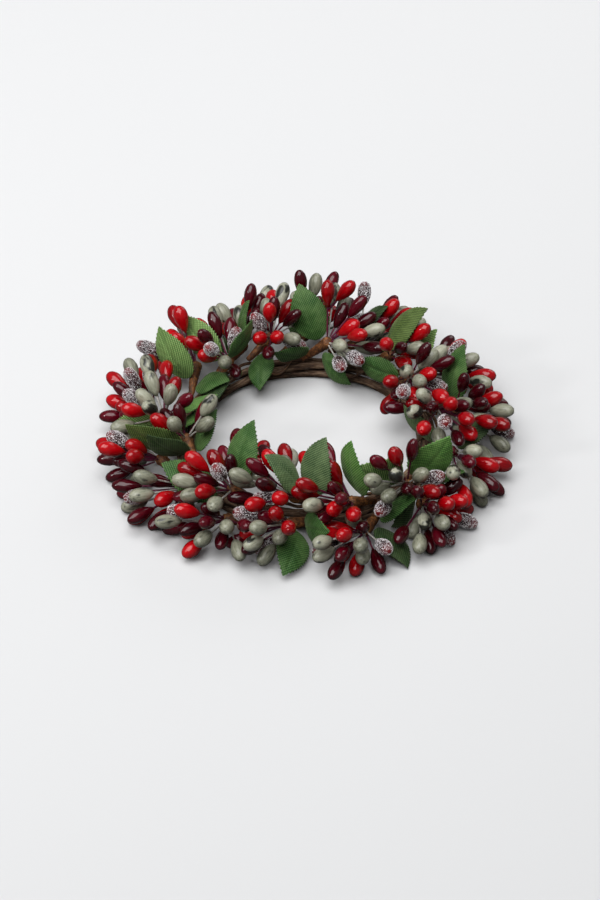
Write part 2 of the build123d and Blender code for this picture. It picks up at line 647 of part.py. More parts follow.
class Foliage:
    """Leaves of all sprays, each held at its base on a tape stub."""

    def __init__(self, bunches):
        self.tails = np.array([bunch["tail"] for bunch in bunches])
        self.mouths = np.array([bunch["at"] for bunch in bunches])
        self.spray = [bunch["spray"] for bunch in bunches for _ in bunch["leaves"]]
        self.owner = [i for i, bunch in enumerate(bunches) for _ in bunch["leaves"]]
        leaves = [leaf for bunch in bunches for leaf in bunch["leaves"]]
        self.turn = [leaf[4] for leaf in leaves]
        self.size = [leaf[5] for leaf in leaves]
        self.base = np.array([seat_leaf(leaf, b["tail"], b["at"]) for b in bunches for leaf in b["leaves"]])
        self.tip = np.array([ring_place(*leaf[1:4]) for leaf in leaves])
        self.shape = leaf_points()

    def planes(self):
        return [leaf_frame(*leaf) for leaf in zip(self.base, self.tip, self.turn)]

    def points(self):
        """Return points of every leaf, one row for each leaf."""
        rows = []
        for plane, size in zip(self.planes(), self.size):
            axes = np.array([tuple(plane.x_dir), tuple(plane.y_dir), tuple(plane.z_dir)])
            rows.append(np.array(tuple(plane.origin)) + size * self.shape @ axes)
        return np.array(rows)

    def push_off(self, moves, leaf, apart, distance, least):
        """Move a leaf's tip along the way apart at its point that lies closest."""
        closest = distance.argmin()
        if distance[closest] < least:
            lever = max(self.shape[closest, 0] / LEAF_LENGTH, LEAST_LEVER)
            way = apart[closest] / max(np.linalg.norm(apart[closest]), TINY)
            moves[leaf] += (least - distance[closest]) / lever * way

    def settle(self):
        """Turn the leaves about their bases until they lie clear, and print the least gaps."""
        clear = LEAF_CLEARANCE + LEAF_THICKNESS / 2
        bundle = BUNDLE_RADIUS + TENDRIL_GAP + TENDRIL_DIAMETER
        free = self.shape[:, 0] > LEAF_BASE * LEAF_LENGTH
        for _ in range(LEAF_ROUNDS):
            points = self.points()
            moves = np.zeros_like(self.tip)
            slides = np.zeros_like(self.base)
            least = {"table": np.inf, "vine": np.inf, "tape": np.inf, "leaf": np.inf}
            for i, own in enumerate(points):
                lift = np.tile([0.0, 0.0, 1.0], (len(own), 1))
                self.push_off(moves, i, lift, own[:, 2], 2 * clear)
                least["table"] = min(least["table"], own[:, 2].min())
                ring = own * (RING_RADIUS / np.linalg.norm(own[:, :2], axis=1))[:, None]
                ring[:, 2] = BUNDLE_HEIGHT
                away = own - ring
                distance = np.linalg.norm(away, axis=1) - bundle
                self.push_off(moves, i, away, np.where(free, distance, np.inf), clear)
                least["vine"] = min(least["vine"], distance[free].min())
                for k, (tail, mouth) in enumerate(zip(self.tails, self.mouths)):
                    axis = mouth - tail
                    share = np.clip((own - tail) @ axis / (axis @ axis), 0, 1)
                    away = own - tail - share[:, None] * axis
                    radius = TAPE_TAIL_RADIUS + share * (TAPE_MOUTH_RADIUS - TAPE_TAIL_RADIUS)
                    distance = np.linalg.norm(away, axis=1) - radius
                    least["tape"] = min(least["tape"], distance.min())
                    closest = distance.argmin()
                    if k == self.owner[i] and not free[closest] and distance[closest] < clear:
                        slides[i] += (clear - distance[closest]) * unit(away[closest])
                    self.push_off(moves, i, away, np.where(free, distance, np.inf), clear + SEAT_GAP)
                for j in range(i):
                    if np.linalg.norm(own.mean(0) - points[j].mean(0)) > LEAF_LENGTH:
                        continue
                    apart = own[:, None] - points[j][None]
                    distance = np.linalg.norm(apart, axis=2)
                    nearest = distance.argmin(1)
                    rows = np.arange(len(own))
                    self.push_off(moves, i, apart[rows, nearest], distance[rows, nearest], LEAF_SPACING)
                    nearest = distance.argmin(0)
                    rows = np.arange(distance.shape[1])
                    self.push_off(moves, j, -apart[nearest, rows], distance[nearest, rows], LEAF_SPACING)
                    least["leaf"] = min(least["leaf"], distance.min())
            self.base = self.base + SETTLE_STEP * slides
            self.tip = self.tip + SETTLE_STEP * (moves + slides)
        print("leaves", len(points), "least gaps", {name: round(float(gap), 2) for name, gap in least.items()})


class Garland:
    """Berries of all sprays, with their mouths, and what they have to keep clear of."""

    def __init__(self, bunches, foliage):
        self.kinds = []
        self.owner = []
        self.shown = []
        self.home = []
        for i, bunch in enumerate(bunches):
            shown = np.array([garland_place(*berry[1:]) for berry in bunch["berries"]])
            room = np.maximum((shown[:, 2] - LOWEST_HOME) / SHOWN_FROM[2], 0)
            depth = np.minimum(LAYER_STEP * (np.arange(len(shown)) % LAYERS), room)
            inner = self.inner_places(shown, bunch["at"])
            self.kinds += [berry[0] for berry in bunch["berries"]] + list(INNER_KINDS)
            self.owner += [i] * (len(shown) + len(inner))
            self.shown += [*shown, *inner]
            self.home += [*(shown - depth[:, None] * SHOWN_FROM), *inner]
        self.owner = np.array(self.owner)
        self.shown = np.array(self.shown)
        self.home = np.array(self.home)
        self.tails = np.array([bunch["tail"] for bunch in bunches])
        self.mouths = np.array([bunch["at"] for bunch in bunches])
        self.length = np.array([BERRY_SIZES[kind][0] for kind in self.kinds])
        self.radius = np.array([BERRY_SIZES[kind][1] / 2 for kind in self.kinds])
        self.leaves = np.concatenate(foliage.points())
        faces = [np.array(tuple(plane.z_dir)) for plane in foliage.planes()]
        self.faces = np.repeat(faces, len(foliage.shape), axis=0)
        self.inside = np.tile(leaf_inside(foliage.shape), len(faces))
        self.at = self.home.copy()

    def inner_places(self, shown, mouth):
        """Return the places of a bunch's short-stemmed berries, each between two others that lie side by side."""
        places = []
        for number, kind in enumerate(INNER_KINDS):
            first = (2 * number + 1) * len(shown) // (2 * len(INNER_KINDS))
            apart = np.linalg.norm(shown - shown[first], axis=1)
            between = (shown[first] + shown[np.argsort(apart)[1]]) / 2
            reach = THREAD_START + INNER_THREAD + BERRY_SIZES[kind][0] / 2
            places.append(mouth + reach * unit(between - mouth))
        return places

    def ways(self):
        return unit(self.at - self.mouths[self.owner])

    def capsules(self):
        """Return the ends, radii and berry of each head and each thread."""
        ways = self.ways()
        straight = (self.length / 2 - self.radius)[:, None] * ways
        neck = self.at - (self.length / 2)[:, None] * ways
        start = self.mouths[self.owner] + THREAD_START * ways
        ends_a = np.concatenate([self.at - straight, start])
        ends_b = np.concatenate([self.at + straight, neck])
        radii = np.concatenate([self.radius, np.full(len(self.kinds), THREAD_DIAMETER / 2)])
        berry = np.tile(np.arange(len(self.kinds)), 2)
        return ends_a, ends_b, radii, berry

    def keep_shape(self):
        """Keep each thread long enough and each berry in front of its tape's mouth."""
        mouths = self.mouths[self.owner]
        axis = unit(self.mouths - self.tails)[self.owner]
        arm = self.at - mouths
        reach = np.linalg.norm(arm, axis=1)
        way = arm / reach[:, None]
        lean = (way * axis).sum(1)
        limit = math.cos(math.radians(WIDEST_FAN))
        aside = unit(way - lean[:, None] * axis)
        turned = limit * axis + math.sqrt(1 - limit**2) * aside
        way = np.where((lean < limit)[:, None], turned, way)
        reach = np.clip(reach - THREAD_START - self.length / 2, THREAD_LEAST, THREAD_MOST)
        reach = reach + THREAD_START + self.length / 2
        self.at = mouths + reach[:, None] * way

    def find_neighbours(self):
        """Note which heads and threads lie near each other, near leaves and near other tape stubs."""
        a, b, radii, berry = self.capsules()
        middle = (a + b) / 2
        half = np.linalg.norm(b - a, axis=1) / 2 + radii + NEIGHBOUR_MARGIN
        i, j = np.triu_indices(len(a), 1)
        near = np.linalg.norm(middle[i] - middle[j], axis=1) < half[i] + half[j]
        near &= berry[i] != berry[j]
        self.pairs = (i[near], j[near])
        tape_middle = (self.tails + self.mouths) / 2
        tape_half = np.linalg.norm(self.tails - self.mouths, axis=1) / 2 + TAPE_MOUTH_RADIUS
        gaps = np.linalg.norm(middle[:, None] - tape_middle[None], axis=2) - half[:, None] - tape_half[None]
        gaps[self.owner[berry][:, None] == np.arange(len(self.tails))[None]] = np.inf
        self.by_tape = np.nonzero(gaps < 0)
        by_leaf = []
        for k in range(len(a)):
            close = np.linalg.norm(self.leaves - middle[k], axis=1) < half[k]
            by_leaf += [(k, point) for point in np.nonzero(close)[0]]
        self.by_leaf = np.array(by_leaf).T

    def pair_moves(self, moves, bias):
        """Add the moves that part heads and threads, with a bias along the line of sight."""
        a, b, radii, berry = self.capsules()
        i, j = self.pairs
        p, q = nearest_between(a[i], b[i], a[j], b[j])
        apart = p - q
        distance = np.maximum(np.linalg.norm(apart, axis=1), TINY)
        gap = distance - radii[i] - radii[j]
        way = apart / distance[:, None]
        sight = way @ SHOWN_FROM
        way = unit(way + (bias * (sight + np.where(sight < 0, -1, 1)))[:, None] * SHOWN_FROM)
        push = np.maximum(BERRY_CLEARANCE - gap, 0)[:, None] * way / 2
        np.add.at(moves, berry[i], push)
        np.add.at(moves, berry[j], -push)
        np.minimum.at(self.room, berry[i], gap)
        np.minimum.at(self.room, berry[j], gap)

    def leaf_moves(self, moves):
        """Add the moves that part each head and thread from the nearest point of a leaf."""
        a, b, radii, berry = self.capsules()
        i, k = self.by_leaf
        p, q = nearest_between(a[i], b[i], self.leaves[k], self.leaves[k])
        apart = p - q
        distance = np.maximum(np.linalg.norm(apart, axis=1), TINY)
        surface = np.sqrt(np.maximum(distance**2 - LEAF_PITCH**2 / 2, 0))
        gap = surface - radii[i] - LEAF_THICKNESS / 2
        side = np.sign(((self.mouths[self.owner[berry[i]]] - self.leaves[k]) * self.faces[k]).sum(1))
        way = np.where(self.inside[k, None], side[:, None] * self.faces[k], apart / distance[:, None])
        order = np.lexsort((gap, i))
        first = order[np.unique(i[order], return_index=True)[1]]
        push = np.maximum(BERRY_CLEARANCE - gap, 0)[:, None] * way
        np.add.at(moves, berry[i[first]], push[first])
        np.minimum.at(self.room, berry[i], gap)

    def tape_moves(self, moves):
        """Add the moves that part heads and threads from the tape stubs of other bunches."""
        a, b, radii, berry = self.capsules()
        i, k = self.by_tape
        p, q = nearest_between(a[i], b[i], self.tails[k], self.mouths[k])
        apart = p - q
        distance = np.maximum(np.linalg.norm(apart, axis=1), TINY)
        gap = distance - radii[i] - TAPE_MOUTH_RADIUS
        push = np.maximum(BERRY_CLEARANCE - gap, 0)[:, None] * apart / distance[:, None]
        np.add.at(moves, berry[i], push)
        np.minimum.at(self.room, berry[i], gap)

    def ground_moves(self, moves):
        """Add the moves that lift berries off the table and part them from the vine."""
        a, b, radii, berry = self.capsules()
        bundle = BUNDLE_RADIUS + TENDRIL_GAP + TENDRIL_DIAMETER
        for end in (a, b, (a + b) / 2):
            lift = np.maximum(BERRY_CLEARANCE - (end[:, 2] - radii), 0)
            np.add.at(moves[:, 2], berry, lift)
            flat = np.linalg.norm(end[:, :2], axis=1)
            ring = end.copy()
            ring[:, :2] *= (RING_RADIUS / flat)[:, None]
            ring[:, 2] = BUNDLE_HEIGHT
            apart = end - ring
            distance = np.maximum(np.linalg.norm(apart, axis=1), TINY)
            gap = distance - radii - bundle
            push = np.maximum(BERRY_CLEARANCE - gap, 0)[:, None] * apart / distance[:, None]
            np.add.at(moves, berry, push)
            np.minimum.at(self.room, berry, np.minimum(gap, end[:, 2] - radii))

    def parting_moves(self, bias):
        """Return the moves that part whatever lies too close, and note each berry's least gap as its room."""
        self.room = np.full(len(self.kinds), np.inf)
        moves = np.zeros_like(self.at)
        self.pair_moves(moves, bias)
        self.leaf_moves(moves)
        self.tape_moves(moves)
        self.ground_moves(moves)
        return moves

    def settle(self):
        """Push the berries apart in small steps until they lie clear."""
        for turn in range(SETTLE_ROUNDS):
            self.keep_shape()
            if turn % NEIGHBOUR_ROUNDS == 0:
                self.find_neighbours()
            back = self.home - self.at
            sight = (back @ SHOWN_FROM)[:, None] * SHOWN_FROM
            ease = min(1, (SETTLE_ROUNDS - turn) / EASE_ROUNDS)
            moves = self.parting_moves(SIGHT_BIAS * max(0, 1 - turn / BIAS_ROUNDS))
            moves += ease * (HOME_PULL * (back - sight) + SIGHT_PULL * sight)
            size = np.maximum(np.linalg.norm(moves, axis=1, keepdims=True), TINY)
            self.at = self.at + moves * np.minimum(SETTLE_STEP, SETTLE_LIMIT / size)
        self.keep_shape()

    def leave_out(self):
        """Leave out the berries that found no room, the tightest first, and print what is left."""
        planned = len(self.kinds)
        while True:
            self.find_neighbours()
            self.parting_moves(0)
            if self.room.min() > LEAST_ROOM:
                break
            tightest = np.nonzero(self.room == self.room.min())[0][-1]
            kept = np.arange(len(self.kinds)) != tightest
            self.kinds = [kind for kind, keep in zip(self.kinds, kept) if keep]
            self.owner = self.owner[kept]
            self.shown = self.shown[kept]
            self.length = self.length[kept]
            self.radius = self.radius[kept]
            self.at = self.at[kept]
        drift = self.at - self.shown
        aside = np.linalg.norm(drift - (drift @ SHOWN_FROM)[:, None] * SHOWN_FROM, axis=1)
        print(f"berries {len(self.kinds)} of {planned}, least gap {self.room.min():.2f}, "
              f"moved aside by {aside.mean():.1f} on average and {aside.max():.1f} at most")

    def solids(self, index, berries):
        """Return one berry and its thread, in place."""
        way = self.ways()[index]
        neck = self.at[index] - self.length[index] / 2 * way
        head = Plane(origin=tuple(neck), z_dir=tuple(way)).location * berries[self.kinds[index]]
        start = self.mouths[self.owner[index]] + THREAD_START * way
        length = float(np.linalg.norm(neck - start))
        rod = Cylinder(THREAD_DIAMETER / 2, length, align=(Align.CENTER, Align.CENTER, Align.MIN))
        thread = Plane(origin=tuple(start), z_dir=tuple(way)).location * rod
        return head, thread


def write_node(name, solids):
    """Write the solids of one node to its file."""
    shapes = [solid for shape in solids for solid in shape.solids()]
    export_step(Compound(children=shapes), f"parts/{name}.step")


def main():
    os.makedirs("parts", exist_ok=True)
    vine_points = vine_line(np.linspace(0, 1, VINE_BIARCS * SAMPLES_PER_BIARC))
    tendril_points = tendril_line(np.linspace(0, 1, TENDRIL_BIARCS * SAMPLES_PER_BIARC // 2))
    print(f"vine's least gap to itself {least_self_gap(vine_points, VINE_DIAMETER):.2f}")
    print(f"tendril's least gap to itself {least_self_gap(tendril_points, TENDRIL_DIAMETER):.2f}")
    write_node("vine_ring", [make_vine()])
    write_node("wandering_tendril", [tube(tendril_line, TENDRIL_BIARCS, TENDRIL_DIAMETER)])

    tubes = [(vine_points, VINE_DIAMETER / 2), (tendril_points, TENDRIL_DIAMETER / 2)]
    bunches = []
    for spray, pair in SPRAYS.items():
        for bunch in pair:
            mouth = ring_place(*(np.float64(value) for value in bunch["mouth"]))
            tail = seat_tail(mouth, bunch["mouth"], tubes)
            bunches.append(bunch | {"spray": spray, "at": mouth, "tail": tail})

    foliage = Foliage(bunches)
    foliage.settle()
    garland = Garland(bunches, foliage)
    garland.settle()
    garland.leave_out()

    leaf = make_leaf()
    blades = {size: leaf.scale(size) for size in (1, MIDDLE_LEAF, SMALL_LEAF)}
    placed = list(zip(foliage.spray, foliage.planes(), foliage.size))
    for spray in SPRAYS:
        tapes = [make_tape(bunch["tail"], bunch["at"]) for bunch in bunches if bunch["spray"] == spray]
        write_node(f"{spray}_tape", tapes)
        leaves = [plane.location * blades[size] for owner, plane, size in placed if owner == spray]
        write_node(f"{spray}_leaves", leaves)

    berries = {kind: make_berry(kind) for kind in BERRY_SIZES}
    for quarter, sprays in QUARTERS.items():
        group = [i for i, owner in enumerate(garland.owner) if bunches[owner]["spray"] in sprays]
        pieces = {i: garland.solids(i, berries) for i in group}
        for kind in BERRY_SIZES:
            heads = [pieces[i][0] for i in group if garland.kinds[i] == kind]
            write_node(f"{kind}_berries_{quarter}", heads)
        for colour, kinds in THREAD_COLOURS.items():
            threads = [pieces[i][1] for i in group if garland.kinds[i] in kinds]
            write_node(f"{colour}_threads_{quarter}", threads)


main()
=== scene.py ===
import math
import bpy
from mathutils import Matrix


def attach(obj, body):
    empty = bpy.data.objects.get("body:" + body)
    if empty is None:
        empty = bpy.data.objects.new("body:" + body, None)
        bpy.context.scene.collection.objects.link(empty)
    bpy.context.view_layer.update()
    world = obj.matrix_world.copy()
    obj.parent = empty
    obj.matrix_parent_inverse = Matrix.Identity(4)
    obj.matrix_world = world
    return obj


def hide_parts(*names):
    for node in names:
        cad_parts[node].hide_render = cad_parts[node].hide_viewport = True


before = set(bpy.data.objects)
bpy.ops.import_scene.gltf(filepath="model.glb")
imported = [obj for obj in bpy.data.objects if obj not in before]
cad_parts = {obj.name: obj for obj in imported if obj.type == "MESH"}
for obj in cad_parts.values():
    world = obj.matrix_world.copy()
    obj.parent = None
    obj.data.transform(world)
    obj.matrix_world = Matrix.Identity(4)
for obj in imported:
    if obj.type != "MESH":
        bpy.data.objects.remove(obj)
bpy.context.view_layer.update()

import zlib

import bpy
import numpy as np
from mathutils import Vector


def srgb(red, green, blue):
    """Return a colour given in 0 to 255 as a linear colour."""
    shares = [value / 255 for value in (red, green, blue)]
    linear = [s / 12.92 if s <= 0.04045 else ((s + 0.055) / 1.055) ** 2.4 for s in shares]
    return (*linear, 1.0)


# Candle ring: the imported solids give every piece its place, and each is dressed here with its real surface.
# Lengths are millimetres until a mesh is made. +Z is up and -Y is the front.
MM = 0.001
WELD = 1e-6
FULL_TURN = 2 * math.pi
GOLDEN_ANGLE = math.pi * (3 - math.sqrt(5))
QUARTERS = ("front", "right", "back", "left")
SPRAYS = [f"spray_{number:02d}" for number in range(1, 14)]

# Finding the solids: how much of a round solid counts as its end, and how steep an axis counts as upright
END_SHARE = 0.25
UPRIGHT = 0.9

# Camera: one long lens that looks down on the ring, with its clipping distances in metres
LENS = 82.0
SENSOR = 36.0
VIEW_ELEVATION = 39.0
VIEW_DISTANCE = 820.0
VIEW_TARGET = (-2.4, -6.8, 3.6)
CLIP = (0.01, 50.0)

# Table, in metres: its colour is painted lighter towards the back, a painted fall-off of light, with a faint
# grain, and it fades into the backdrop.
# Rays that carry light to the object see its bounce colour instead.
TABLE_REACH = 6.0
TABLE_ROUGHNESS = 0.9
TABLE_SPECULAR = 0.1
FLOOR_LEVEL = 0.725
FLOOR_BOUNCE = (0.06, 0.06, 0.061, 1)
# painted fall-off of light: how the table's level changes a metre along x and along y
FLOOR_PAINTED_LIGHT_SLOPE = (-0.02, 0.42)
FLOOR_TINT = (0.985, 0.99, 1.0, 1)
FLOOR_GRAIN = 0.02
FLOOR_GRAIN_SCALE = 3.0
FLOOR_FADE = (0.45, 0.95)
BLACK = (0, 0, 0, 1)

# Backdrop, as the camera sees it and as mirrored rays see a share of it, and the light that comes from it
BACKDROP_LEVEL = 0.84
BACKDROP_TINT = (0.97, 0.985, 1.0, 1)
MIRRORED_SHARE = 0.16
WORLD_LIGHT = 0.06

# Lamps as name, place in metres, size and watts: a wide one above, a small one at the left, a weak one behind
LAMPS = (
    ("overhead", (-0.27, -0.44, 1.43), 1.5, 31.5),
    ("window", (-0.95, -0.5, 0.72), 0.15, 2.6),
    ("fill", (0.75, 1.0, 0.8), 0.8, 3.2),
)

# Vine and tendril: the same winding as the solids
RING_RADIUS = 48.5
VINE_RADIUS = 1.6
VINE_OFFSET = 2.616
VINE_TURNS = 4
VINE_TWISTS = 5
VINE_END_GAP = 8.0
BUNDLE_HEIGHT = 3.716
TENDRIL_RADIUS = 0.7
TENDRIL_OFFSET = 5.266
TENDRIL_WAVES = 9
TENDRIL_SWING = 75.0
TENDRIL_START = 186.0
TENDRIL_END_GAP = 12.0

# Bark: rings along the vine, points round it and the distance between knots, then the relief as shares of the
# radius, and how fast it turns in radians a millimetre
VINE_DIVISIONS = {"stations": 1100, "segments": 16, "knot_gap": 27.0}
TENDRIL_DIVISIONS = {"stations": 420, "segments": 10, "knot_gap": 19.0}
BARK_INSET = 0.07
BARK_ROUGHNESS = 0.014
BARK_WANDER = 0.03
BARK_WANDER_RATE = 0.37
KNOT_RISE = 0.1
KNOT_WIDTH = 1.4
KNOT_SHIFT = 0.3
FLUTE_DEPTH = 0.05
FLUTES = 5
FLUTE_SHARE = 0.6
FLUTE_TWIST = 0.05
FINE_FLUTES = 8
FINE_FLUTE_SHARE = 0.4
FINE_FLUTE_TWIST = 0.09
FINE_FLUTE_SWAY = 2
FINE_FLUTE_SWAY_RATE = 0.11

# Leaf outline: teeth are steps in from the edge, as (share of a tooth's length, share of its depth)
LEAF_TEETH = 17
LEAF_TOOTH = 0.62
LEAF_TOOTH_PART = 3
LEAF_TOOTH_STEPS = ((0.0, 1.0), (0.4, 0.55), (0.82, 0.0))
LEAF_TEETH_FROM = 0.06
LEAF_TIP_TEETH = 0.5
LEAF_LAST_NOTCH = 0.02
LEAF_LAST_CUT = 0.6
LEAF_PEAK = 0.62
LEAF_TAPER = 0.88
LEAF_WIDTH_SHARE = 16.5 / 25
LEAF_STALK = 0.9
LEAF_STALK_END = 0.2
LEAF_LEAST_HALF = 0.05

# Leaf surface: pressed veins, a rib down the middle and a ruffled edge, on a face fitted to the solid
LEAF_COLUMNS = 9
LEAF_THICKNESS = 0.3
LEAF_FOOT = 0.6
LEAF_OUTER = 0.6
LEAF_FIT_UNIT = 10
VEIN_PITCH = 3.3
VEIN_SLANT = 0.8
QUILT_DEPTH = 0.07
QUILT_START = 2
QUILT_FADE = 4
RIB_DEPTH = 0.45
RIB_WIDTH = 0.7
RIB_END = 1.05
RUFFLE = (0.1, 0.3)
RUFFLE_ALONG = 9
RUFFLE_ACROSS = 2
WEAVE_PITCH = 0.78
CLOTH_SPREAD = 40

# Pips: how far up each kind is widest, how sharply its lower end narrows, how blunt its tip is, the share of
# pips with a pitted tip, and the depths that a groove along one side may have, as shares of the radius
LACQUER_GROOVES = (0.0, 0.0, 0.03)
PEARL_GROOVES = (0.0, 0.0, 0.06, 0.1)
PIP_SHAPES = {
    "red": {"widest": 0.60, "neck": 0.26, "blunt": 0.95, "pitted": 0.35, "grooves": LACQUER_GROOVES},
    "burgundy": {"widest": 0.57, "neck": 0.22, "blunt": 0.95, "pitted": 0.35, "grooves": LACQUER_GROOVES},
    "sage": {"widest": 0.56, "neck": 0.16, "blunt": 0.9, "pitted": 0.2, "grooves": PEARL_GROOVES},
    "frosted": {"widest": 0.55, "neck": 0.12, "blunt": 0.9, "pitted": 0.0, "grooves": LACQUER_GROOVES},
}
PIP_LOWER = 8
PIP_UPPER = 7
PIP_SEGMENTS = 20
PIP_FLATNESS = 0.04
PIP_BEND = 0.25
PIP_SPREAD = 400
GROOVE_WIDTH = 0.35
PIT_RIM = 0.05
PIT_DEPTHS = (0.25, 0.45)
PIT_LEAST = 0.02
PIT_MOUTHS = (0.35, 0.5)
PIT_WAIST = 0.6
THREAD_RADIUS = 0.35

# Sugar grains on a frosted pip, whose core is a little smaller than its solid
CORE_SHARE = 0.88
CORE_LENGTH_SHARE = 0.97
GRAINS = 900
GRAIN_LEAST = 0.12
GRAIN_MOST = 0.29
GRAIN_RAGGED = (0.65, 1.2)
GRAIN_FROM = 0.02
GRAIN_RANGE = 0.96
GRAIN_CROWDING = 0.92
GRAIN_WANDER = 0.3
GRAIN_STANDING = 0.2
GRAIN_LEAST_REACH = 0.2
GRAIN_BASE = 0.3
BARE_TIP_FROM = 0.9
BARE_TIP_SHARE = 0.15
TIP_GRAINS_FROM = 0.75
TIP_GRAIN_WHITE = 0.75
OCTAHEDRON = np.array([(1, 0, 0), (-1, 0, 0), (0, 1, 0), (0, -1, 0), (0, 0, 1), (0, 0, -1)], float)
OCTAHEDRON_FACES = [(0, 2, 4), (2, 1, 4), (1, 3, 4), (3, 0, 4), (2, 0, 5), (1, 2, 5), (3, 1, 5), (0, 3, 5)]

# Tape: a cone that ends round, wound with laps, and roughened by ridges and creases
TAPE_SEGMENTS = 22
TAPE_RINGS = 26
TAPE_FOOT_SHARE = 0.44
TAPE_LENGTH_SHARE = 0.995
TAPE_LAPS = (2.4, 3.2)
TAPE_LAP_RISE = 0.16
TAPE_INSET = 0.12
TAPE_RIDGE = 0.06
TAPE_RIDGES = 5
TAPE_RIDGE_TURN = 1.7
TAPE_CREASE = 0.035
TAPE_LEAST = 0.1
TAPE_END_SQUARE = 0.05
TAPE_SPREAD = 300

# Colours from the darkest to the palest, and each leaf's tint with how open its weave looks; a leaf's tint is
# partly its cloth's own colour and partly painted light, with painted shade on the dark ones and painted light
# and sheen on the bright and pale ones
RED = (srgb(96, 0, 5), srgb(162, 2, 12), srgb(200, 8, 20))
BURGUNDY = (srgb(28, 1, 5), srgb(68, 3, 15), srgb(114, 7, 31))
SAGE = (srgb(92, 93, 79), srgb(145, 146, 127), srgb(184, 184, 164))
# dark patches on sage pips: partly black smears, partly a painted reflection of dark surroundings
SAGE_SMEAR_AND_DARK_REFLECTION = srgb(26, 28, 24)
SAGE_STEM = srgb(70, 72, 60)
CORE = (srgb(18, 7, 9), srgb(58, 10, 15))
CORE_TIP = srgb(134, 14, 22)
SUGAR = (srgb(84, 48, 54), srgb(150, 128, 132), srgb(214, 208, 210), srgb(250, 249, 250))
SUGAR_CLOUD = srgb(208, 200, 206)
VINE_BARK = (srgb(40, 29, 22), srgb(92, 70, 54), srgb(148, 123, 100))
TENDRIL_BARK = (srgb(36, 25, 18), srgb(80, 57, 41), srgb(128, 97, 72))
BARK_FLECK = srgb(150, 138, 124)
TAPE = (srgb(48, 27, 14), srgb(98, 58, 29), srgb(152, 100, 56))
TAPE_LAP_SHADE = srgb(42, 23, 12)
WHITE_STEM = (srgb(112, 108, 100), srgb(192, 189, 182))
DARK_STEM = (srgb(44, 6, 24), srgb(108, 16, 58))
LEAF_SHADE = srgb(112, 126, 98)
LEAF_FADE = srgb(176, 196, 132)
LEAF_THREAD = srgb(196, 204, 140)
LEAF_SHEEN = srgb(196, 220, 170)
CLOTH_TINTS_AND_LIGHT = {
    # dark: painted shade; bright and pale: painted light and sheen; all over the cloth's own green
    "dark": (srgb(31, 70, 25), 0.15),
    "mid": (srgb(53, 107, 39), 0.2),
    "bright": (srgb(90, 151, 63), 0.36),
    "pale": (srgb(130, 174, 96), 0.6),
    "olive": (srgb(84, 112, 42), 0.3),
    "grey": (srgb(82, 114, 74), 0.35),
}

# The tint of each spray's leaves, partly its cloth and partly painted light and shade, in the order of the
# leaves from left to right
LEAF_TINTS_AND_LIGHT = {
    "spray_01": ("grey", "mid", "mid", "grey"),
    "spray_02": ("bright", "dark", "mid"),
    "spray_03": ("pale", "dark", "bright", "mid"),
    "spray_04": ("grey", "dark"),
    "spray_05": ("mid", "mid"),
    "spray_06": ("olive", "pale"),
    "spray_07": ("mid", "mid", "mid", "dark"),
    "spray_08": ("mid", "mid"),
    "spray_09": ("pale", "mid", "dark", "mid", "mid"),
    "spray_10": ("pale", "pale", "bright", "bright", "mid"),
    "spray_11": ("bright", "olive", "dark", "mid"),
    "spray_12": ("mid",),
    "spray_13": ("mid",),
}


def unit(vector):
    """Return the vector at length one."""
    return vector / np.linalg.norm(vector, axis=-1, keepdims=True)


def circle(segments):
    """Return the angles of points spaced evenly round a circle."""
    return np.arange(segments) * FULL_TURN / segments


def draw_for(name):
    """Return a random generator that is the same for a name on every run."""
    return np.random.default_rng(zlib.crc32(name.encode()))


def islands(node):
    """Return the separate solids of a CAD node as (points, triangles) in millimetres, from left to right."""
    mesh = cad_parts[node].data
    points = np.empty(len(mesh.vertices) * 3, np.float32)
    mesh.vertices.foreach_get("co", points)
    points = points.reshape(-1, 3).astype(float)
    mesh.calc_loop_triangles()
    corners = np.empty(len(mesh.loop_triangles) * 3, np.int32)
    mesh.loop_triangles.foreach_get("vertices", corners)
    keys = np.round(points / WELD).astype(np.int64)
    _, first, weld = np.unique(keys, axis=0, return_index=True, return_inverse=True)
    weld = weld.reshape(-1)
    triangles = weld[corners.reshape(-1, 3)]
    points = points[first] / MM
    a = np.concatenate([triangles[:, 0], triangles[:, 1]])
    b = np.concatenate([triangles[:, 1], triangles[:, 2]])
    label = np.arange(len(points))
    while True:
        low = np.minimum(label[a], label[b])
        new = label.copy()
        np.minimum.at(new, a, low)
        np.minimum.at(new, b, low)
        new = new[new]
        if (new == label).all():
            break
        label = new
    found = []
    for root in np.unique(label):
        mine = np.flatnonzero(label == root)
        place = np.full(len(points), -1)
        place[mine] = np.arange(len(mine))
        found.append((points[mine], place[triangles[label[triangles[:, 0]] == root]]))
    return sorted(found, key=lambda solid: tuple(np.round(solid[0].mean(axis=0), 3)))


def main_axes(points, triangles):
    """Return a solid's surface middle, its axes from the longest down, and its faces' middles and areas."""
    middles = points[triangles].mean(axis=1)
    sides = points[triangles]
    areas = np.linalg.norm(np.cross(sides[:, 1] - sides[:, 0], sides[:, 2] - sides[:, 0]), axis=1)
    centre = (middles * areas[:, None]).sum(axis=0) / areas.sum()
    spread = (middles - centre).T @ ((middles - centre) * areas[:, None])
    values, vectors = np.linalg.eigh(spread)
    return centre, vectors[:, np.argsort(values)[::-1]].T, middles, areas


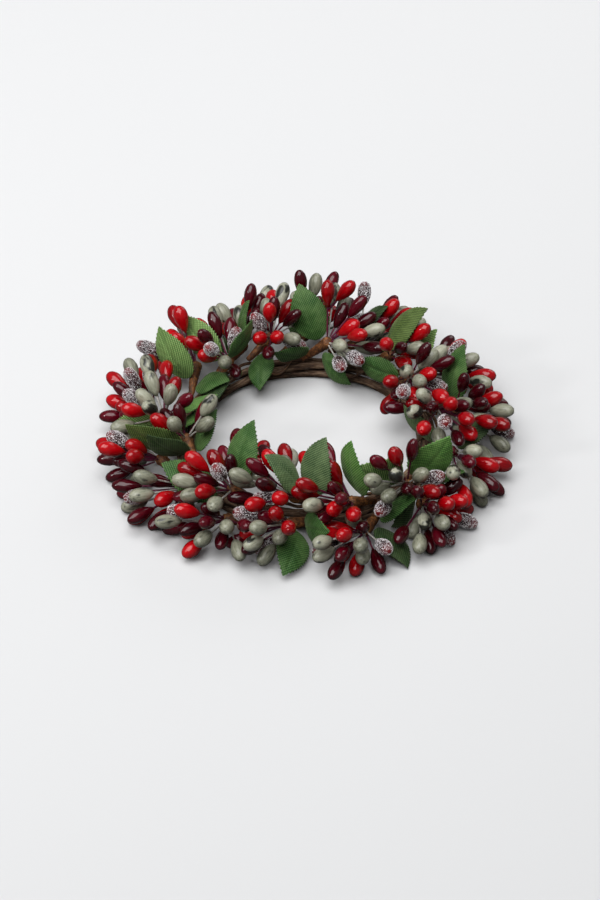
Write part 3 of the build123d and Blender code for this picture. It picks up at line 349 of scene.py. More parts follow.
def round_frame(points, triangles):
    """Return the narrow end, the axis to the wide end, the length and the radius of a round solid."""
    centre, axes, middles, areas = main_axes(points, triangles)
    axis = axes[0]
    along = (points - centre) @ axis
    low, high = along.min(), along.max()
    shares = ((middles - centre) @ axis - low) / (high - low)
    radii = np.linalg.norm(middles - centre - ((middles - centre) @ axis)[:, None] * axis, axis=1)
    picks = (shares < END_SHARE, shares > 1 - END_SHARE)
    ends = [np.average(radii[pick], weights=areas[pick]) for pick in picks]
    if ends[0] > ends[1]:
        axis = -axis
        low, high = -high, -low
    base = centre + low * axis
    off = points - base
    radius = np.linalg.norm(off - (off @ axis)[:, None] * axis, axis=1).max()
    return base, axis, high - low, radius


def cross_ways(axis):
    """Return two directions square to an axis."""
    helper = np.array([0, 0, 1.0]) if abs(axis[2]) < UPRIGHT else np.array([1.0, 0, 0])
    side = unit(np.cross(helper, axis))
    return side, np.cross(axis, side)


class Shape:
    """Points, faces and values per point, gathered from many small forms into one mesh."""

    def __init__(self):
        self.points = []
        self.faces = []
        self.values = {}
        self.count = 0

    def add(self, points, faces, **values):
        """Add one form. Each value is one number, one vector, or one of them per point."""
        self.points.append(points)
        self.faces += [tuple(corner + self.count for corner in face) for face in faces]
        for name, value in values.items():
            value = np.asarray(value, float)
            single = value.ndim == 0 or (value.ndim == 1 and len(value) == 3 and len(points) != 3)
            if single:
                value = np.broadcast_to(value, (len(points),) + value.shape)
            self.values.setdefault(name, []).append(value)
        self.count += len(points)

    def piece(self, name, material, slot, nodes, smooth=True):
        """Make the mesh object, which stands for the given CAD nodes."""
        mesh = bpy.data.meshes.new(name)
        mesh.from_pydata((np.concatenate(self.points) * MM).tolist(), [], self.faces)
        mesh.polygons.foreach_set("use_smooth", np.full(len(mesh.polygons), smooth))
        for key, parts in self.values.items():
            data = np.concatenate(parts).astype(np.float32)
            kind = "FLOAT" if data.ndim == 1 else "FLOAT_VECTOR"
            layer = mesh.attributes.new(key, kind, "POINT")
            layer.data.foreach_set("value" if data.ndim == 1 else "vector", data.ravel())
        mesh.materials.append(material)
        mesh.validate()
        mesh.update()
        obj = bpy.data.objects.new(name, mesh)
        bpy.context.scene.collection.objects.link(obj)
        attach(obj, "root")
        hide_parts(*nodes)
        return obj


class Tree:
    """Short calls for building one material, or the world, out of nodes."""

    def __init__(self, name, world=None):
        self.material = world or bpy.data.materials.new(name)
        self.material.use_nodes = True
        self.nodes = self.material.node_tree.nodes
        self.links = self.material.node_tree.links
        self.shader = self.nodes["Background" if world else "Principled BSDF"]

    def put(self, socket, value):
        """Link a socket, or set it to a plain value."""
        if isinstance(value, bpy.types.NodeSocket):
            self.links.new(value, socket)
        else:
            socket.default_value = value

    def finish(self, **inputs):
        """Set the shader's inputs by name, with _ for a space."""
        for name, value in inputs.items():
            self.put(self.shader.inputs[name.replace("_", " ")], value)
        return self.material

    def seen(self):
        """Return 1 where the camera looks, a share of that for mirrored or refracted rays, and 0 elsewhere."""
        path = self.nodes.new("ShaderNodeLightPath").outputs
        bent = self.math("ADD", path["Is Glossy Ray"], path["Is Transmission Ray"])
        return self.math("MULTIPLY_ADD", bent, MIRRORED_SHARE, path["Is Camera Ray"], clamp=True)

    def place(self):
        """Return a point's place on its object, in metres."""
        return self.nodes.new("ShaderNodeTexCoord").outputs["Object"]

    def attribute(self, name, output):
        node = self.nodes.new("ShaderNodeAttribute")
        node.attribute_name = name
        return node.outputs[output]

    def math(self, operation, *values, clamp=False):
        node = self.nodes.new("ShaderNodeMath")
        node.operation = operation
        node.use_clamp = clamp
        for socket, value in zip(node.inputs, values):
            self.put(socket, value)
        return node.outputs[0]

    def weigh(self, *parts):
        """Return the sum of values, each times its weight."""
        total = None
        for value, weight in parts:
            term = value if weight == 1 else self.math("MULTIPLY", value, weight)
            total = term if total is None else self.math("ADD", total, term)
        return total

    def split(self, vector):
        node = self.nodes.new("ShaderNodeSeparateXYZ")
        self.put(node.inputs[0], vector)
        return node.outputs

    def stretch(self, vector, scale):
        node = self.nodes.new("ShaderNodeVectorMath")
        node.operation = "MULTIPLY"
        self.put(node.inputs[0], vector)
        node.inputs[1].default_value = scale
        return node.outputs[0]

    def noise(self, vector, scale, detail=2.0, roughness=0.5):
        node = self.nodes.new("ShaderNodeTexNoise")
        self.put(node.inputs["Vector"], vector)
        node.inputs["Scale"].default_value = scale
        node.inputs["Detail"].default_value = detail
        node.inputs["Roughness"].default_value = roughness
        return node.outputs[0]

    def spread(self, value, source, target=(0.0, 1.0)):
        """Map a range of a value onto another range, held at its ends."""
        node = self.nodes.new("ShaderNodeMapRange")
        self.put(node.inputs["Value"], value)
        for name, number in zip(("From Min", "From Max", "To Min", "To Max"), (*source, *target)):
            node.inputs[name].default_value = number
        return node.outputs[0]

    def mix(self, factor, first, second, blend="MIX"):
        node = self.nodes.new("ShaderNodeMix")
        node.data_type = "RGBA"
        node.blend_type = blend
        self.put(node.inputs[0], factor)
        self.put(node.inputs[6], first)
        self.put(node.inputs[7], second)
        return node.outputs[2]

    def ramp(self, factor, places, colours):
        node = self.nodes.new("ShaderNodeValToRGB")
        self.put(node.inputs[0], factor)
        elements = node.color_ramp.elements
        while len(elements) < len(colours):
            elements.new(1.0)
        for element, place, colour in zip(elements, places, colours):
            element.position = place
            element.color = colour
        return node.outputs[0]

    def bump(self, height, strength, distance):
        node = self.nodes.new("ShaderNodeBump")
        self.put(node.inputs["Height"], height)
        node.inputs["Strength"].default_value = strength
        node.inputs["Distance"].default_value = distance
        return node.outputs[0]


def lacquer(name, colours, coat):
    """Glossy dipped lacquer: colour runs a little along each pip, and the skin has a faint orange peel."""
    tree = Tree(name)
    own = tree.attribute("own", "Vector")
    tone = tree.attribute("tone", "Fac")
    along = tree.attribute("along", "Fac")
    runs = tree.noise(tree.stretch(own, (1.0, 1.0, 0.22)), scale=0.9, detail=3.0, roughness=0.6)
    patches = tree.noise(own, scale=0.35)
    peel = tree.noise(own, scale=2.6)
    amount = tree.weigh((runs, 0.45), (tone, 0.4), (patches, 0.2))
    colour = tree.ramp(amount, (0.22, 0.52, 0.86), colours)
    at_stem = tree.spread(along, (0.0, 0.2), (0.75, 0.0))
    return tree.finish(
        Base_Color=tree.mix(at_stem, colour, colours[0]),
        Roughness=tree.spread(patches, (0.3, 0.75), (0.1, 0.2)),
        Specular_IOR_Level=0.3,
        Coat_Weight=coat,
        Coat_Roughness=0.12,
        Normal=tree.bump(tree.weigh((runs, 0.7), (peel, 0.3)), strength=0.18, distance=0.25 * MM),
    )


def pearl(name):
    """Pearly grey-green paint with pale runs, and dark patches that are partly black smears and partly a
    painted reflection of dark surroundings.
    """
    tree = Tree(name)
    own = tree.attribute("own", "Vector")
    tone = tree.attribute("tone", "Fac")
    along = tree.attribute("along", "Fac")
    runs = tree.noise(tree.stretch(own, (1.0, 1.0, 0.16)), scale=1.2, detail=3.0, roughness=0.65)
    patches = tree.noise(tree.stretch(own, (1.0, 1.0, 0.5)), scale=0.24)
    peel = tree.noise(own, scale=2.4)
    colour = tree.ramp(tree.weigh((runs, 0.7), (tone, 0.3)), (0.26, 0.5, 0.78), SAGE)
    # painted reflection of dark surroundings mixed with black smears: near-black patches on some pips
    smear_and_dark_reflection = tree.weigh((patches, 1), (tone, 0.3), (runs, 0.25))
    colour = tree.mix(tree.spread(smear_and_dark_reflection, (0.9, 0.97), (0.0, 0.97)), colour, SAGE_SMEAR_AND_DARK_REFLECTION)
    at_stem = tree.spread(along, (0.0, 0.16), (0.55, 0.0))
    return tree.finish(
        Base_Color=tree.mix(at_stem, colour, SAGE_STEM),
        Roughness=tree.spread(runs, (0.3, 0.7), (0.24, 0.4)),
        Specular_IOR_Level=0.35,
        Coat_Weight=0.25,
        Coat_Roughness=0.14,
        Normal=tree.bump(tree.weigh((runs, 0.8), (peel, 0.2)), strength=0.25, distance=0.3 * MM),
    )


def frosted_core(name):
    """Dark pip under the sugar grains, red at its tip."""
    tree = Tree(name)
    own = tree.attribute("own", "Vector")
    along = tree.attribute("along", "Fac")
    dark = tree.ramp(tree.noise(own, scale=0.8, detail=3.0), (0.35, 0.7), CORE)
    at_tip = tree.spread(along, (0.7, 1.0), (0.0, 0.7))
    return tree.finish(
        Base_Color=tree.mix(at_tip, dark, CORE_TIP),
        Roughness=0.35,
        Normal=tree.bump(tree.noise(own, scale=2.0), strength=0.3, distance=0.3 * MM),
    )


def sugar(name):
    """Clear and milky grains: each has its own share of white, and some show the red beneath."""
    tree = Tree(name)
    tone = tree.attribute("tone", "Fac")
    own = tree.attribute("own", "Vector")
    cloud = tree.noise(own, scale=3.0)
    colour = tree.ramp(tone, (0.0, 0.16, 0.36, 0.7), SUGAR)
    return tree.finish(
        Base_Color=tree.mix(tree.spread(cloud, (0.4, 0.8), (0.0, 0.3)), colour, SUGAR_CLOUD),
        Roughness=tree.spread(cloud, (0.3, 0.7), (0.08, 0.28)),
        IOR=1.53,
        Coat_Weight=0.4,
        Coat_Roughness=0.06,
    )


def diagonal(tree, along, across, sign):
    """Return the rise and fall, from 0 to 1, of one of the weave's two sets of threads."""
    slant = tree.math("ADD", along, tree.math("MULTIPLY", across, sign))
    wave = tree.math("SINE", tree.math("MULTIPLY", slant, math.sqrt(2) * math.pi / WEAVE_PITCH))
    return tree.math("MULTIPLY_ADD", wave, 0.5, 0.5)


def leaf_cloth(name):
    """Starched cloth: a diagonal weave, pressed veins, a rib down the middle, and each leaf's tint, which is
    partly its cloth's colour and partly painted light and shade.
    """
    tree = Tree(name)
    cloth = tree.attribute("cloth", "Vector")
    # the tint is partly the cloth's colour and partly painted light and shade
    tint = tree.attribute("tint", "Vector")
    open_weave = tree.attribute("open", "Fac")
    along, across, _ = tree.split(cloth)
    aside = tree.math("ABSOLUTE", across)
    first = diagonal(tree, along, across, 1)
    second = diagonal(tree, along, across, -1)
    weave = tree.math("MULTIPLY", first, tree.math("MULTIPLY_ADD", second, 0.55, 0.45))
    behind = tree.math("SUBTRACT", along, tree.math("MULTIPLY", aside, VEIN_SLANT))
    row = tree.math("DIVIDE", behind, VEIN_PITCH)
    near = tree.math("ABSOLUTE", tree.math("SUBTRACT", tree.math("FRACT", row), 0.5))
    vein = tree.spread(near, (0.0, 0.1), (1.0, 0.0))
    rib = tree.spread(aside, (0.1, 0.5), (1.0, 0.0))
    line = tree.math("MAXIMUM", vein, rib)
    blotch = tree.noise(cloth, scale=0.16, detail=3.0, roughness=0.6)
    fibre = tree.noise(tree.stretch(cloth, (1.6, 1.6, 1.0)), scale=1.6)
    darker = tree.mix(1.0, tint, LEAF_SHADE, "MULTIPLY")
    paler = tree.mix(0.3, tint, LEAF_FADE)
    threads = tree.mix(0.55, tint, LEAF_THREAD)
    shown = tree.math("MULTIPLY", tree.spread(weave, (0.3, 0.8)), open_weave)
    colour = tree.mix(tree.spread(weave, (0.1, 0.75)), darker, tint)
    colour = tree.mix(tree.spread(blotch, (0.42, 0.78), (0.0, 0.5)), colour, paler)
    colour = tree.mix(tree.math("MULTIPLY", shown, 0.7), colour, threads)
    colour = tree.mix(tree.math("MULTIPLY", line, 0.16), colour, darker)
    colour = tree.mix(tree.spread(fibre, (0.55, 0.8), (0.0, 0.16)), colour, paler)
    height = tree.weigh((weave, 0.45), (line, -0.22), (fibre, 0.25))
    return tree.finish(
        Base_Color=colour,
        Roughness=tree.spread(weave, (0.0, 1.0), (0.72, 0.52)),
        Specular_IOR_Level=0.35,
        Sheen_Weight=0.25,
        Sheen_Roughness=0.45,
        Sheen_Tint=LEAF_SHEEN,
        Normal=tree.bump(height, strength=0.55, distance=0.25 * MM),
    )


def bark(name, colours):
    """Dry stringy bark, streaked along the vine, with grey flecks."""
    tree = Tree(name)
    skin = tree.attribute("skin", "Vector")
    strings = tree.noise(tree.stretch(skin, (0.12, 1.0, 1.0)), scale=2.0, detail=4.0, roughness=0.65)
    patches = tree.noise(tree.stretch(skin, (0.35, 1.0, 1.0)), scale=0.35, detail=3.0)
    flecks = tree.noise(tree.stretch(skin, (0.3, 1.0, 1.0)), scale=1.1)
    colour = tree.ramp(tree.weigh((strings, 0.65), (patches, 0.35)), (0.38, 0.5, 0.64), colours)
    return tree.finish(
        Base_Color=tree.mix(tree.spread(flecks, (0.6, 0.75), (0.0, 0.5)), colour, BARK_FLECK),
        Roughness=tree.spread(strings, (0.3, 0.7), (0.92, 0.72)),
        Specular_IOR_Level=0.25,
        Normal=tree.bump(strings, strength=0.7, distance=0.4 * MM),
    )


def tape_paper(name):
    """Brown waxed crepe tape, stretched so that fine creases run along it."""
    tree = Tree(name)
    skin = tree.attribute("skin", "Vector")
    lap = tree.attribute("lap", "Fac")
    creases = tree.noise(tree.stretch(skin, (0.3, 1.0, 1.0)), scale=2.6, detail=3.0, roughness=0.6)
    patches = tree.noise(skin, scale=0.5, detail=3.0)
    colour = tree.ramp(tree.weigh((creases, 0.5), (patches, 0.5)), (0.38, 0.5, 0.62), TAPE)
    return tree.finish(
        Base_Color=tree.mix(tree.spread(lap, (0.0, 0.25), (0.55, 0.0)), colour, TAPE_LAP_SHADE),
        Roughness=tree.spread(creases, (0.3, 0.7), (0.5, 0.72)),
        Specular_IOR_Level=0.4,
        Normal=tree.bump(creases, strength=0.6, distance=0.3 * MM),
    )


def stem_thread(name, colours, roughness):
    """Starched thread stem, mottled along its strands."""
    tree = Tree(name)
    place = tree.stretch(tree.place(), (1 / MM, 1 / MM, 1 / MM))
    strands = tree.noise(place, scale=2.2, detail=3.0, roughness=0.6)
    patches = tree.noise(place, scale=0.25)
    return tree.finish(
        Base_Color=tree.ramp(tree.weigh((strands, 0.5), (patches, 0.5)), (0.32, 0.62), colours),
        Roughness=tree.spread(strands, (0.3, 0.7), roughness),
        Normal=tree.bump(strands, strength=0.5, distance=0.2 * MM),
    )


def lathe_faces(rings, segments):
    """Return the faces of a closed turned form: a first pole, its rings, and a last pole."""
    faces = []
    last = 1 + rings * segments
    for i in range(segments):
        j = (i + 1) % segments
        faces.append((0, 1 + j, 1 + i))
        faces.append((last, last - segments + i, last - segments + j))
        for ring in range(rings - 1):
            low = 1 + ring * segments
            faces.append((low + i, low + j, low + segments + j, low + segments + i))
    return faces


def pip_profile(kind, share_of_waist):
    """Return the radius share at a share of the way from the stem to the widest place."""
    return np.sin(np.arccos(1 - share_of_waist)) * share_of_waist ** PIP_SHAPES[kind]["neck"]


def pip_points(kind, length, radius, draw):
    """Return a pip's points, upright on its stem, each point's share of the length, and the count of rings."""
    shape = PIP_SHAPES[kind]
    widest = shape["widest"]
    rings = []
    for step in np.linspace(0.0, 1.0, PIP_LOWER + 1)[:-1]:
        climb = 1 - math.cos(step * math.pi / 2)
        swell = float(pip_profile(kind, climb)) if climb > 0 else 0.0
        rings.append((widest * climb, math.hypot(swell * radius, THREAD_RADIUS * (1 - climb))))
    for step in np.linspace(0.0, 1.0, PIP_UPPER + 1)[:-1]:
        turn = step * math.pi / 2
        rings.append((widest + (1 - widest) * math.sin(turn), radius * math.cos(turn) ** shape["blunt"]))
    pitted = draw.random() < shape["pitted"]
    pit = draw.uniform(*PIT_DEPTHS) if pitted else PIT_LEAST
    mouth = draw.uniform(*PIT_MOUTHS)
    rings.append((1 - PIT_RIM / length, mouth))
    rings.append((1 - (PIT_RIM + PIT_WAIST * pit) / length, mouth * PIT_WAIST))
    floor = 1 - (PIT_RIM + pit) / length
    turns = circle(PIP_SEGMENTS)
    groove = draw.uniform(0, FULL_TURN)
    depth = draw.choice(shape["grooves"])
    flat = draw.uniform(-PIP_FLATNESS, PIP_FLATNESS)
    bend = draw.uniform(-PIP_BEND, PIP_BEND)
    gap = np.abs((turns - groove + math.pi) % FULL_TURN - math.pi)
    points = [(0, 0, 0)]
    shares = [0.0]
    for share, ring_radius in rings:
        dent = 1 - depth * np.exp(-((gap / GROOVE_WIDTH) ** 2)) * math.sin(math.pi * share)
        lean = bend * math.sin(math.pi * share)
        x = ring_radius * dent * np.cos(turns) * (1 + flat) + lean
        y = ring_radius * dent * np.sin(turns) * (1 - flat)
        points += list(zip(x, y, np.full(PIP_SEGMENTS, share * length)))
        shares += [share] * PIP_SEGMENTS
    points.append((0, 0, floor * length))
    shares.append(floor)
    return np.array(points), np.array(shares), len(rings)


def put_upright(points, base, axis, turn):
    """Move points from their own upright frame onto a base and an axis."""
    side, other = cross_ways(axis)
    x = math.cos(turn) * side + math.sin(turn) * other
    y = np.cross(axis, x)
    return base + points[:, :1] * x + points[:, 1:2] * y + points[:, 2:] * axis


def add_grains(shape, length, radius, base, axis, draw):
    """Cover one frosted pip with loose angular grains, thinner at the tip where the red shows through."""
    widest = PIP_SHAPES["frosted"]["widest"]
    for grain in range(GRAINS):
        share = GRAIN_FROM + GRAIN_RANGE * ((grain + draw.random()) / GRAINS) ** GRAIN_CROWDING
        if share < widest:
            reach = radius * float(pip_profile("frosted", share / widest))
        else:
            reach = radius * math.sqrt(max(0.0, 1 - ((share - widest) / (1 - widest)) ** 2))
        if share > BARE_TIP_FROM and draw.random() < BARE_TIP_SHARE:
            continue
        turn = grain * GOLDEN_ANGLE + draw.uniform(-GRAIN_WANDER, GRAIN_WANDER)
        size = draw.uniform(GRAIN_LEAST, GRAIN_MOST)
        out = max(reach * CORE_SHARE + size * GRAIN_STANDING, GRAIN_LEAST_REACH)
        height = GRAIN_BASE + share * (length * CORE_LENGTH_SHARE - GRAIN_BASE)
        place = np.array([out * math.cos(turn), out * math.sin(turn), height])
        spin, _ = np.linalg.qr(draw.normal(size=(3, 3)))
        corners = OCTAHEDRON * draw.uniform(*GRAIN_RAGGED, size=(6, 1)) * size
        points = put_upright(corners @ spin.T + place, base, axis, 0.0)
        white = draw.random() * (1.0 if share < TIP_GRAINS_FROM else TIP_GRAIN_WHITE)
        shape.add(points, OCTAHEDRON_FACES, own=points, tone=white)


def make_pips(kind, quarter, material, sugar_skin):
    """Dress the pips of one kind in one quarter of the ring, with grains over the frosted ones."""
    node = f"{kind}_berries_{quarter}"
    frosted = kind == "frosted"
    shape = Shape()
    grains = Shape()
    draw = draw_for(node)
    for points, triangles in islands(node):
        base, axis, length, radius = round_frame(points, triangles)
        turn = draw.uniform(0, FULL_TURN)
        core_length = length * CORE_LENGTH_SHARE if frosted else length
        core_radius = radius * CORE_SHARE if frosted else radius
        local, shares, rings = pip_points(kind, core_length, core_radius, draw)
        placed = put_upright(local, base, axis, turn)
        own = local + draw.uniform(0, PIP_SPREAD, size=3)
        shape.add(placed, lathe_faces(rings, PIP_SEGMENTS), own=own, tone=draw.random(), along=shares)
        if frosted:
            add_grains(grains, length, radius, base, axis, draw)
    shape.piece(f"{kind}_pips_{quarter}", material, f"{kind}_berry", [node])
    if frosted:
        grains.piece(f"sugar_{quarter}", sugar_skin, "frosted_berry", [node], smooth=False)


def leaf_half_width(share, width):
    """Return half a leaf's width at a share of its length, from the stalk to the pointed tip."""
    top_share = LEAF_PEAK / (LEAF_PEAK + LEAF_TAPER)
    top = top_share**LEAF_PEAK * (1 - top_share) ** LEAF_TAPER
    return width / 2 * share**LEAF_PEAK * (1 - share) ** LEAF_TAPER / top


def leaf_stations():
    """Return the shares along a leaf at which its edge is drawn, and how far the edge is cut in at each."""
    step = (1 - LEAF_TEETH_FROM) / (LEAF_TEETH + LEAF_TIP_TEETH)
    shares = [0.0, LEAF_TEETH_FROM / 2]
    cuts = [0.0, 0.0]
    for tooth in range(LEAF_TEETH):
        start = LEAF_TEETH_FROM + tooth * step
        for part, cut in LEAF_TOOTH_STEPS:
            shares.append(start + part * step)
            cuts.append(cut if tooth or part else 0.0)
    shares += [LEAF_TEETH_FROM + (LEAF_TEETH + LEAF_LAST_NOTCH) * step, 1.0]
    cuts += [LEAF_LAST_CUT, 0.0]
    return np.array(shares), np.array(cuts)


def leaf_ways(points, triangles, tape_points):
    """Return a leaf's middle and its axes: along it to the tip, across it, and out of its arched face."""
    centre, (along, _, normal), middles, areas = main_axes(points, triangles)
    ends = [centre + sign * np.abs((points - centre) @ along).max() * along for sign in (1, -1)]
    reach = [np.linalg.norm(tape_points - end, axis=1).min() for end in ends]
    if reach[0] < reach[1]:
        along = -along
    run = np.abs((middles - centre) @ along)
    rise = (middles - centre) @ normal
    outer = run > LEAF_OUTER * run.max()
    if np.average(rise[outer], weights=areas[outer]) > 0:
        normal = -normal
    return centre, np.stack([along, np.cross(normal, along), normal])


def surface_terms(x, y):
    """Return the powers used to follow a leaf's curved face."""
    x = x / LEAF_FIT_UNIT
    y = y / LEAF_FIT_UNIT
    return np.stack([np.ones_like(x), x, x**2, x**3, x**4, y, x * y, y**2, x * y**2, x**2 * y**2], axis=-1)


def sheet_faces(rows, wide):
    """Return the faces of a thin closed sheet: a grid of points for its top, and the same again below."""
    count = rows * wide
    faces = []
    for i in range(rows - 1):
        for j in range(wide - 1):
            a = i * wide + j
            faces.append((a, a + wide, a + wide + 1, a + 1))
            faces.append((count + a, count + a + 1, count + a + wide + 1, count + a + wide))
        for a, b in ((i * wide, (i + 1) * wide), ((i + 2) * wide - 1, (i + 1) * wide - 1)):
            faces.append((a, count + a, count + b, b))
    for j in range(wide - 1):
        last = (rows - 1) * wide + j
        faces.append((j, j + 1, count + j + 1, count + j))
        faces.append((last + 1, last, count + last, count + last + 1))
    return faces


def make_leaf(name, node, solid, tape_points, look, material, draw):
    """Dress one leaf: an outline with fine teeth, pressed veins and a rib, on the solid's curved face."""
    points, triangles = solid
    centre, ways = leaf_ways(points, triangles, tape_points)
    local = (points - centre) @ ways.T
    tip = local[local[:, 0].argmax()]
    foot = local[local[:, 0] < local[:, 0].min() + LEAF_FOOT].mean(axis=0)
    length = np.linalg.norm((tip - foot)[:2])
    heading = (tip - foot)[:2] / length
    square = np.array([-heading[1], heading[0]])
    fit, *_ = np.linalg.lstsq(surface_terms(local[:, 0], local[:, 1]), local[:, 2], rcond=None)
    shares, cuts = leaf_stations()
    width = LEAF_WIDTH_SHARE * length
    wave = draw.uniform(*RUFFLE)
    phase = draw.uniform(0, FULL_TURN)
    wide = 2 * LEAF_COLUMNS + 1
    face = []
    cloth = []
    for share, cut in zip(shares, cuts):
        least = LEAF_STALK * (1 - share) if share < LEAF_STALK_END else LEAF_LEAST_HALF
        half = max(leaf_half_width(share, width), least)
        half -= cut * min(LEAF_TOOTH, half / LEAF_TOOTH_PART)
        crease = math.sin(math.pi * min(1.0, share * RIB_END))
        for column in np.linspace(-1, 1, wide):
            offset = column * half
            x, y = foot[:2] + share * length * heading + offset * square
            z = float(surface_terms(np.array(x), np.array(y)) @ fit)
            row = (share * length - abs(offset) * VEIN_SLANT) / VEIN_PITCH
            inset = min(1.0, abs(offset) / QUILT_START)
            quilt = QUILT_DEPTH * math.cos(FULL_TURN * row) * inset * (1 - abs(column) ** QUILT_FADE)
            fold = -RIB_DEPTH * math.exp(-((offset / RIB_WIDTH) ** 2)) * crease
            ruffle = wave * column**2 * math.sin(phase + RUFFLE_ALONG * share + RUFFLE_ACROSS * column)
            face.append((x, y, z + quilt + fold + ruffle))
            cloth.append((share * length, offset, phase * CLOTH_SPREAD))
    face = np.array(face)
    top = centre + (face + (0, 0, LEAF_THICKNESS / 2)) @ ways
    under = centre + (face - (0, 0, LEAF_THICKNESS / 2)) @ ways
    tint, open_weave = look
    shape = Shape()
    shape.add(
        np.concatenate([top, under]),
        sheet_faces(len(shares), wide),
        cloth=np.array(cloth + cloth),
        tint=np.array(tint[:3]),
        open=open_weave,
    )
    piece = shape.piece(name, material, "leaf_cloth", [node])


def make_tape(spray, material):
    """Dress the two taped stubs of one spray: crepe tape wound on with its laps showing."""
    node = f"{spray}_tape"
    shape = Shape()
    draw = draw_for(node)
    turns = circle(TAPE_SEGMENTS)
    for points, triangles in islands(node):
        base, axis, length, radius = round_frame(points, triangles)
        small = TAPE_FOOT_SHARE * radius
        straight = length - radius
        lap_pitch = draw.uniform(*TAPE_LAPS)
        phase = draw.uniform(0, FULL_TURN)
        local = [(0, 0, 0)]
        skin = [(0, 0, 0)]
        lap = [1.0]
        for ring in range(TAPE_RINGS):
            height = length * (ring + 0.5) / TAPE_RINGS * TAPE_LENGTH_SHARE
            if height < straight:
                girth = small + (radius - small) * height / straight
            else:
                girth = math.sqrt(max(TAPE_END_SQUARE, radius**2 - (height - straight) ** 2))
            winding = (height / lap_pitch + turns / FULL_TURN + phase) % 1.0
            ridges = TAPE_RIDGE * np.sin(TAPE_RIDGES * turns + ring * TAPE_RIDGE_TURN + phase)
            rough = ridges + draw.normal(0, TAPE_CREASE, TAPE_SEGMENTS)
            wide = girth - TAPE_INSET + TAPE_LAP_RISE * winding + rough * min(1.0, girth)
            wide = np.maximum(wide, TAPE_LEAST)
            local += list(zip(wide * np.cos(turns), wide * np.sin(turns), np.full(TAPE_SEGMENTS, height)))
            skin += list(zip(np.full(TAPE_SEGMENTS, height), girth * np.cos(turns), girth * np.sin(turns)))
            lap += list(winding)
        local.append((0, 0, length * TAPE_LENGTH_SHARE))
        skin.append((length, 0, 0))
        lap.append(1.0)
        placed = put_upright(np.array(local), base, axis, 0.0)
        skin = np.array(skin) + draw.uniform(0, TAPE_SPREAD, size=3)
        shape.add(placed, lathe_faces(TAPE_RINGS, TAPE_SEGMENTS), skin=skin, lap=np.array(lap))
    shape.piece(f"{spray}_wrap", material, "floral_tape", [node])


def bundle_place(bearing, section_angle, offset):
    """Return the points at an offset from the middle of the vine bundle."""
    angle = np.radians(section_angle)
    around = np.radians(bearing)
    radius = RING_RADIUS + offset * np.cos(angle)
    height = BUNDLE_HEIGHT + offset * np.sin(angle)
    return np.stack([radius * np.sin(around), -radius * np.cos(around), height], axis=-1)


def vine_line(share):
    """Return points of the vine's centre line, which twists round the bundle as it goes round the ring."""
    length = 360 * VINE_TURNS - math.degrees(VINE_END_GAP / RING_RADIUS)
    bearing = length * share
    return bundle_place(bearing, bearing * VINE_TWISTS / VINE_TURNS - 90, VINE_OFFSET)


def tendril_line(share):
    """Return points of the tendril's centre line, which swings from side to side over the bundle."""
    length = 360 - math.degrees(TENDRIL_END_GAP / RING_RADIUS)
    bearing = TENDRIL_START + length * share
    swing = 90 + TENDRIL_SWING * np.sin(np.radians(TENDRIL_WAVES * length * share))
    return bundle_place(bearing, swing, TENDRIL_OFFSET)


def make_vine(name, node, line, radius, material, stations, segments, knot_gap):
    """Dress a length of vine: fluted stringy bark, with swollen knots along it and cut ends."""
    draw = draw_for(name)
    middle = line(np.linspace(0, 1, stations))
    ways = unit(np.gradient(middle, axis=0))
    side = unit(np.cross(ways, (0, 0, 1.0)))
    up = np.cross(side, ways)
    steps = np.linalg.norm(np.diff(middle, axis=0), axis=1)
    run = np.concatenate([[0], np.cumsum(steps)])[:, None]
    length = run[-1, 0]
    shifts = draw.uniform(-KNOT_SHIFT, KNOT_SHIFT, int(length / knot_gap + 0.5))
    knots = np.arange(knot_gap / 2, length, knot_gap) + shifts * knot_gap
    knot = np.exp(-(((run - knots[None, :]) / (KNOT_WIDTH * radius)) ** 2)).sum(axis=1)[:, None]
    turns = circle(segments)[None, :]
    sway = FINE_FLUTE_SWAY * np.sin(FINE_FLUTE_SWAY_RATE * run)
    flute = np.cos(FLUTES * turns + FLUTE_TWIST * run) * FLUTE_SHARE
    flute += np.cos(FINE_FLUTES * turns - FINE_FLUTE_TWIST * run + sway) * FINE_FLUTE_SHARE
    wander = BARK_WANDER * np.sin(BARK_WANDER_RATE * run)
    swell = 1 - BARK_INSET + FLUTE_DEPTH * flute + wander + KNOT_RISE * knot
    swell += draw.normal(0, BARK_ROUGHNESS, swell.shape)
    outward = np.cos(turns)[..., None] * side[:, None] + np.sin(turns)[..., None] * up[:, None]
    body = middle[:, None] + (radius * swell)[..., None] * outward
    points = np.concatenate([middle[:1], body.reshape(-1, 3), middle[-1:]])
    points[:, 2] = np.maximum(points[:, 2], 0.0)
    skin = np.broadcast_arrays(run, radius * np.cos(turns), radius * np.sin(turns))
    skin = np.stack(skin, axis=-1).reshape(-1, 3)
    skin = np.concatenate([skin[:1] * (1, 0, 0), skin, skin[-1:] * (1, 0, 0)])
    shape = Shape()
    shape.add(points, lathe_faces(stations, segments), skin=skin)
    shape.piece(name, material, f"{name}_bark", [node])


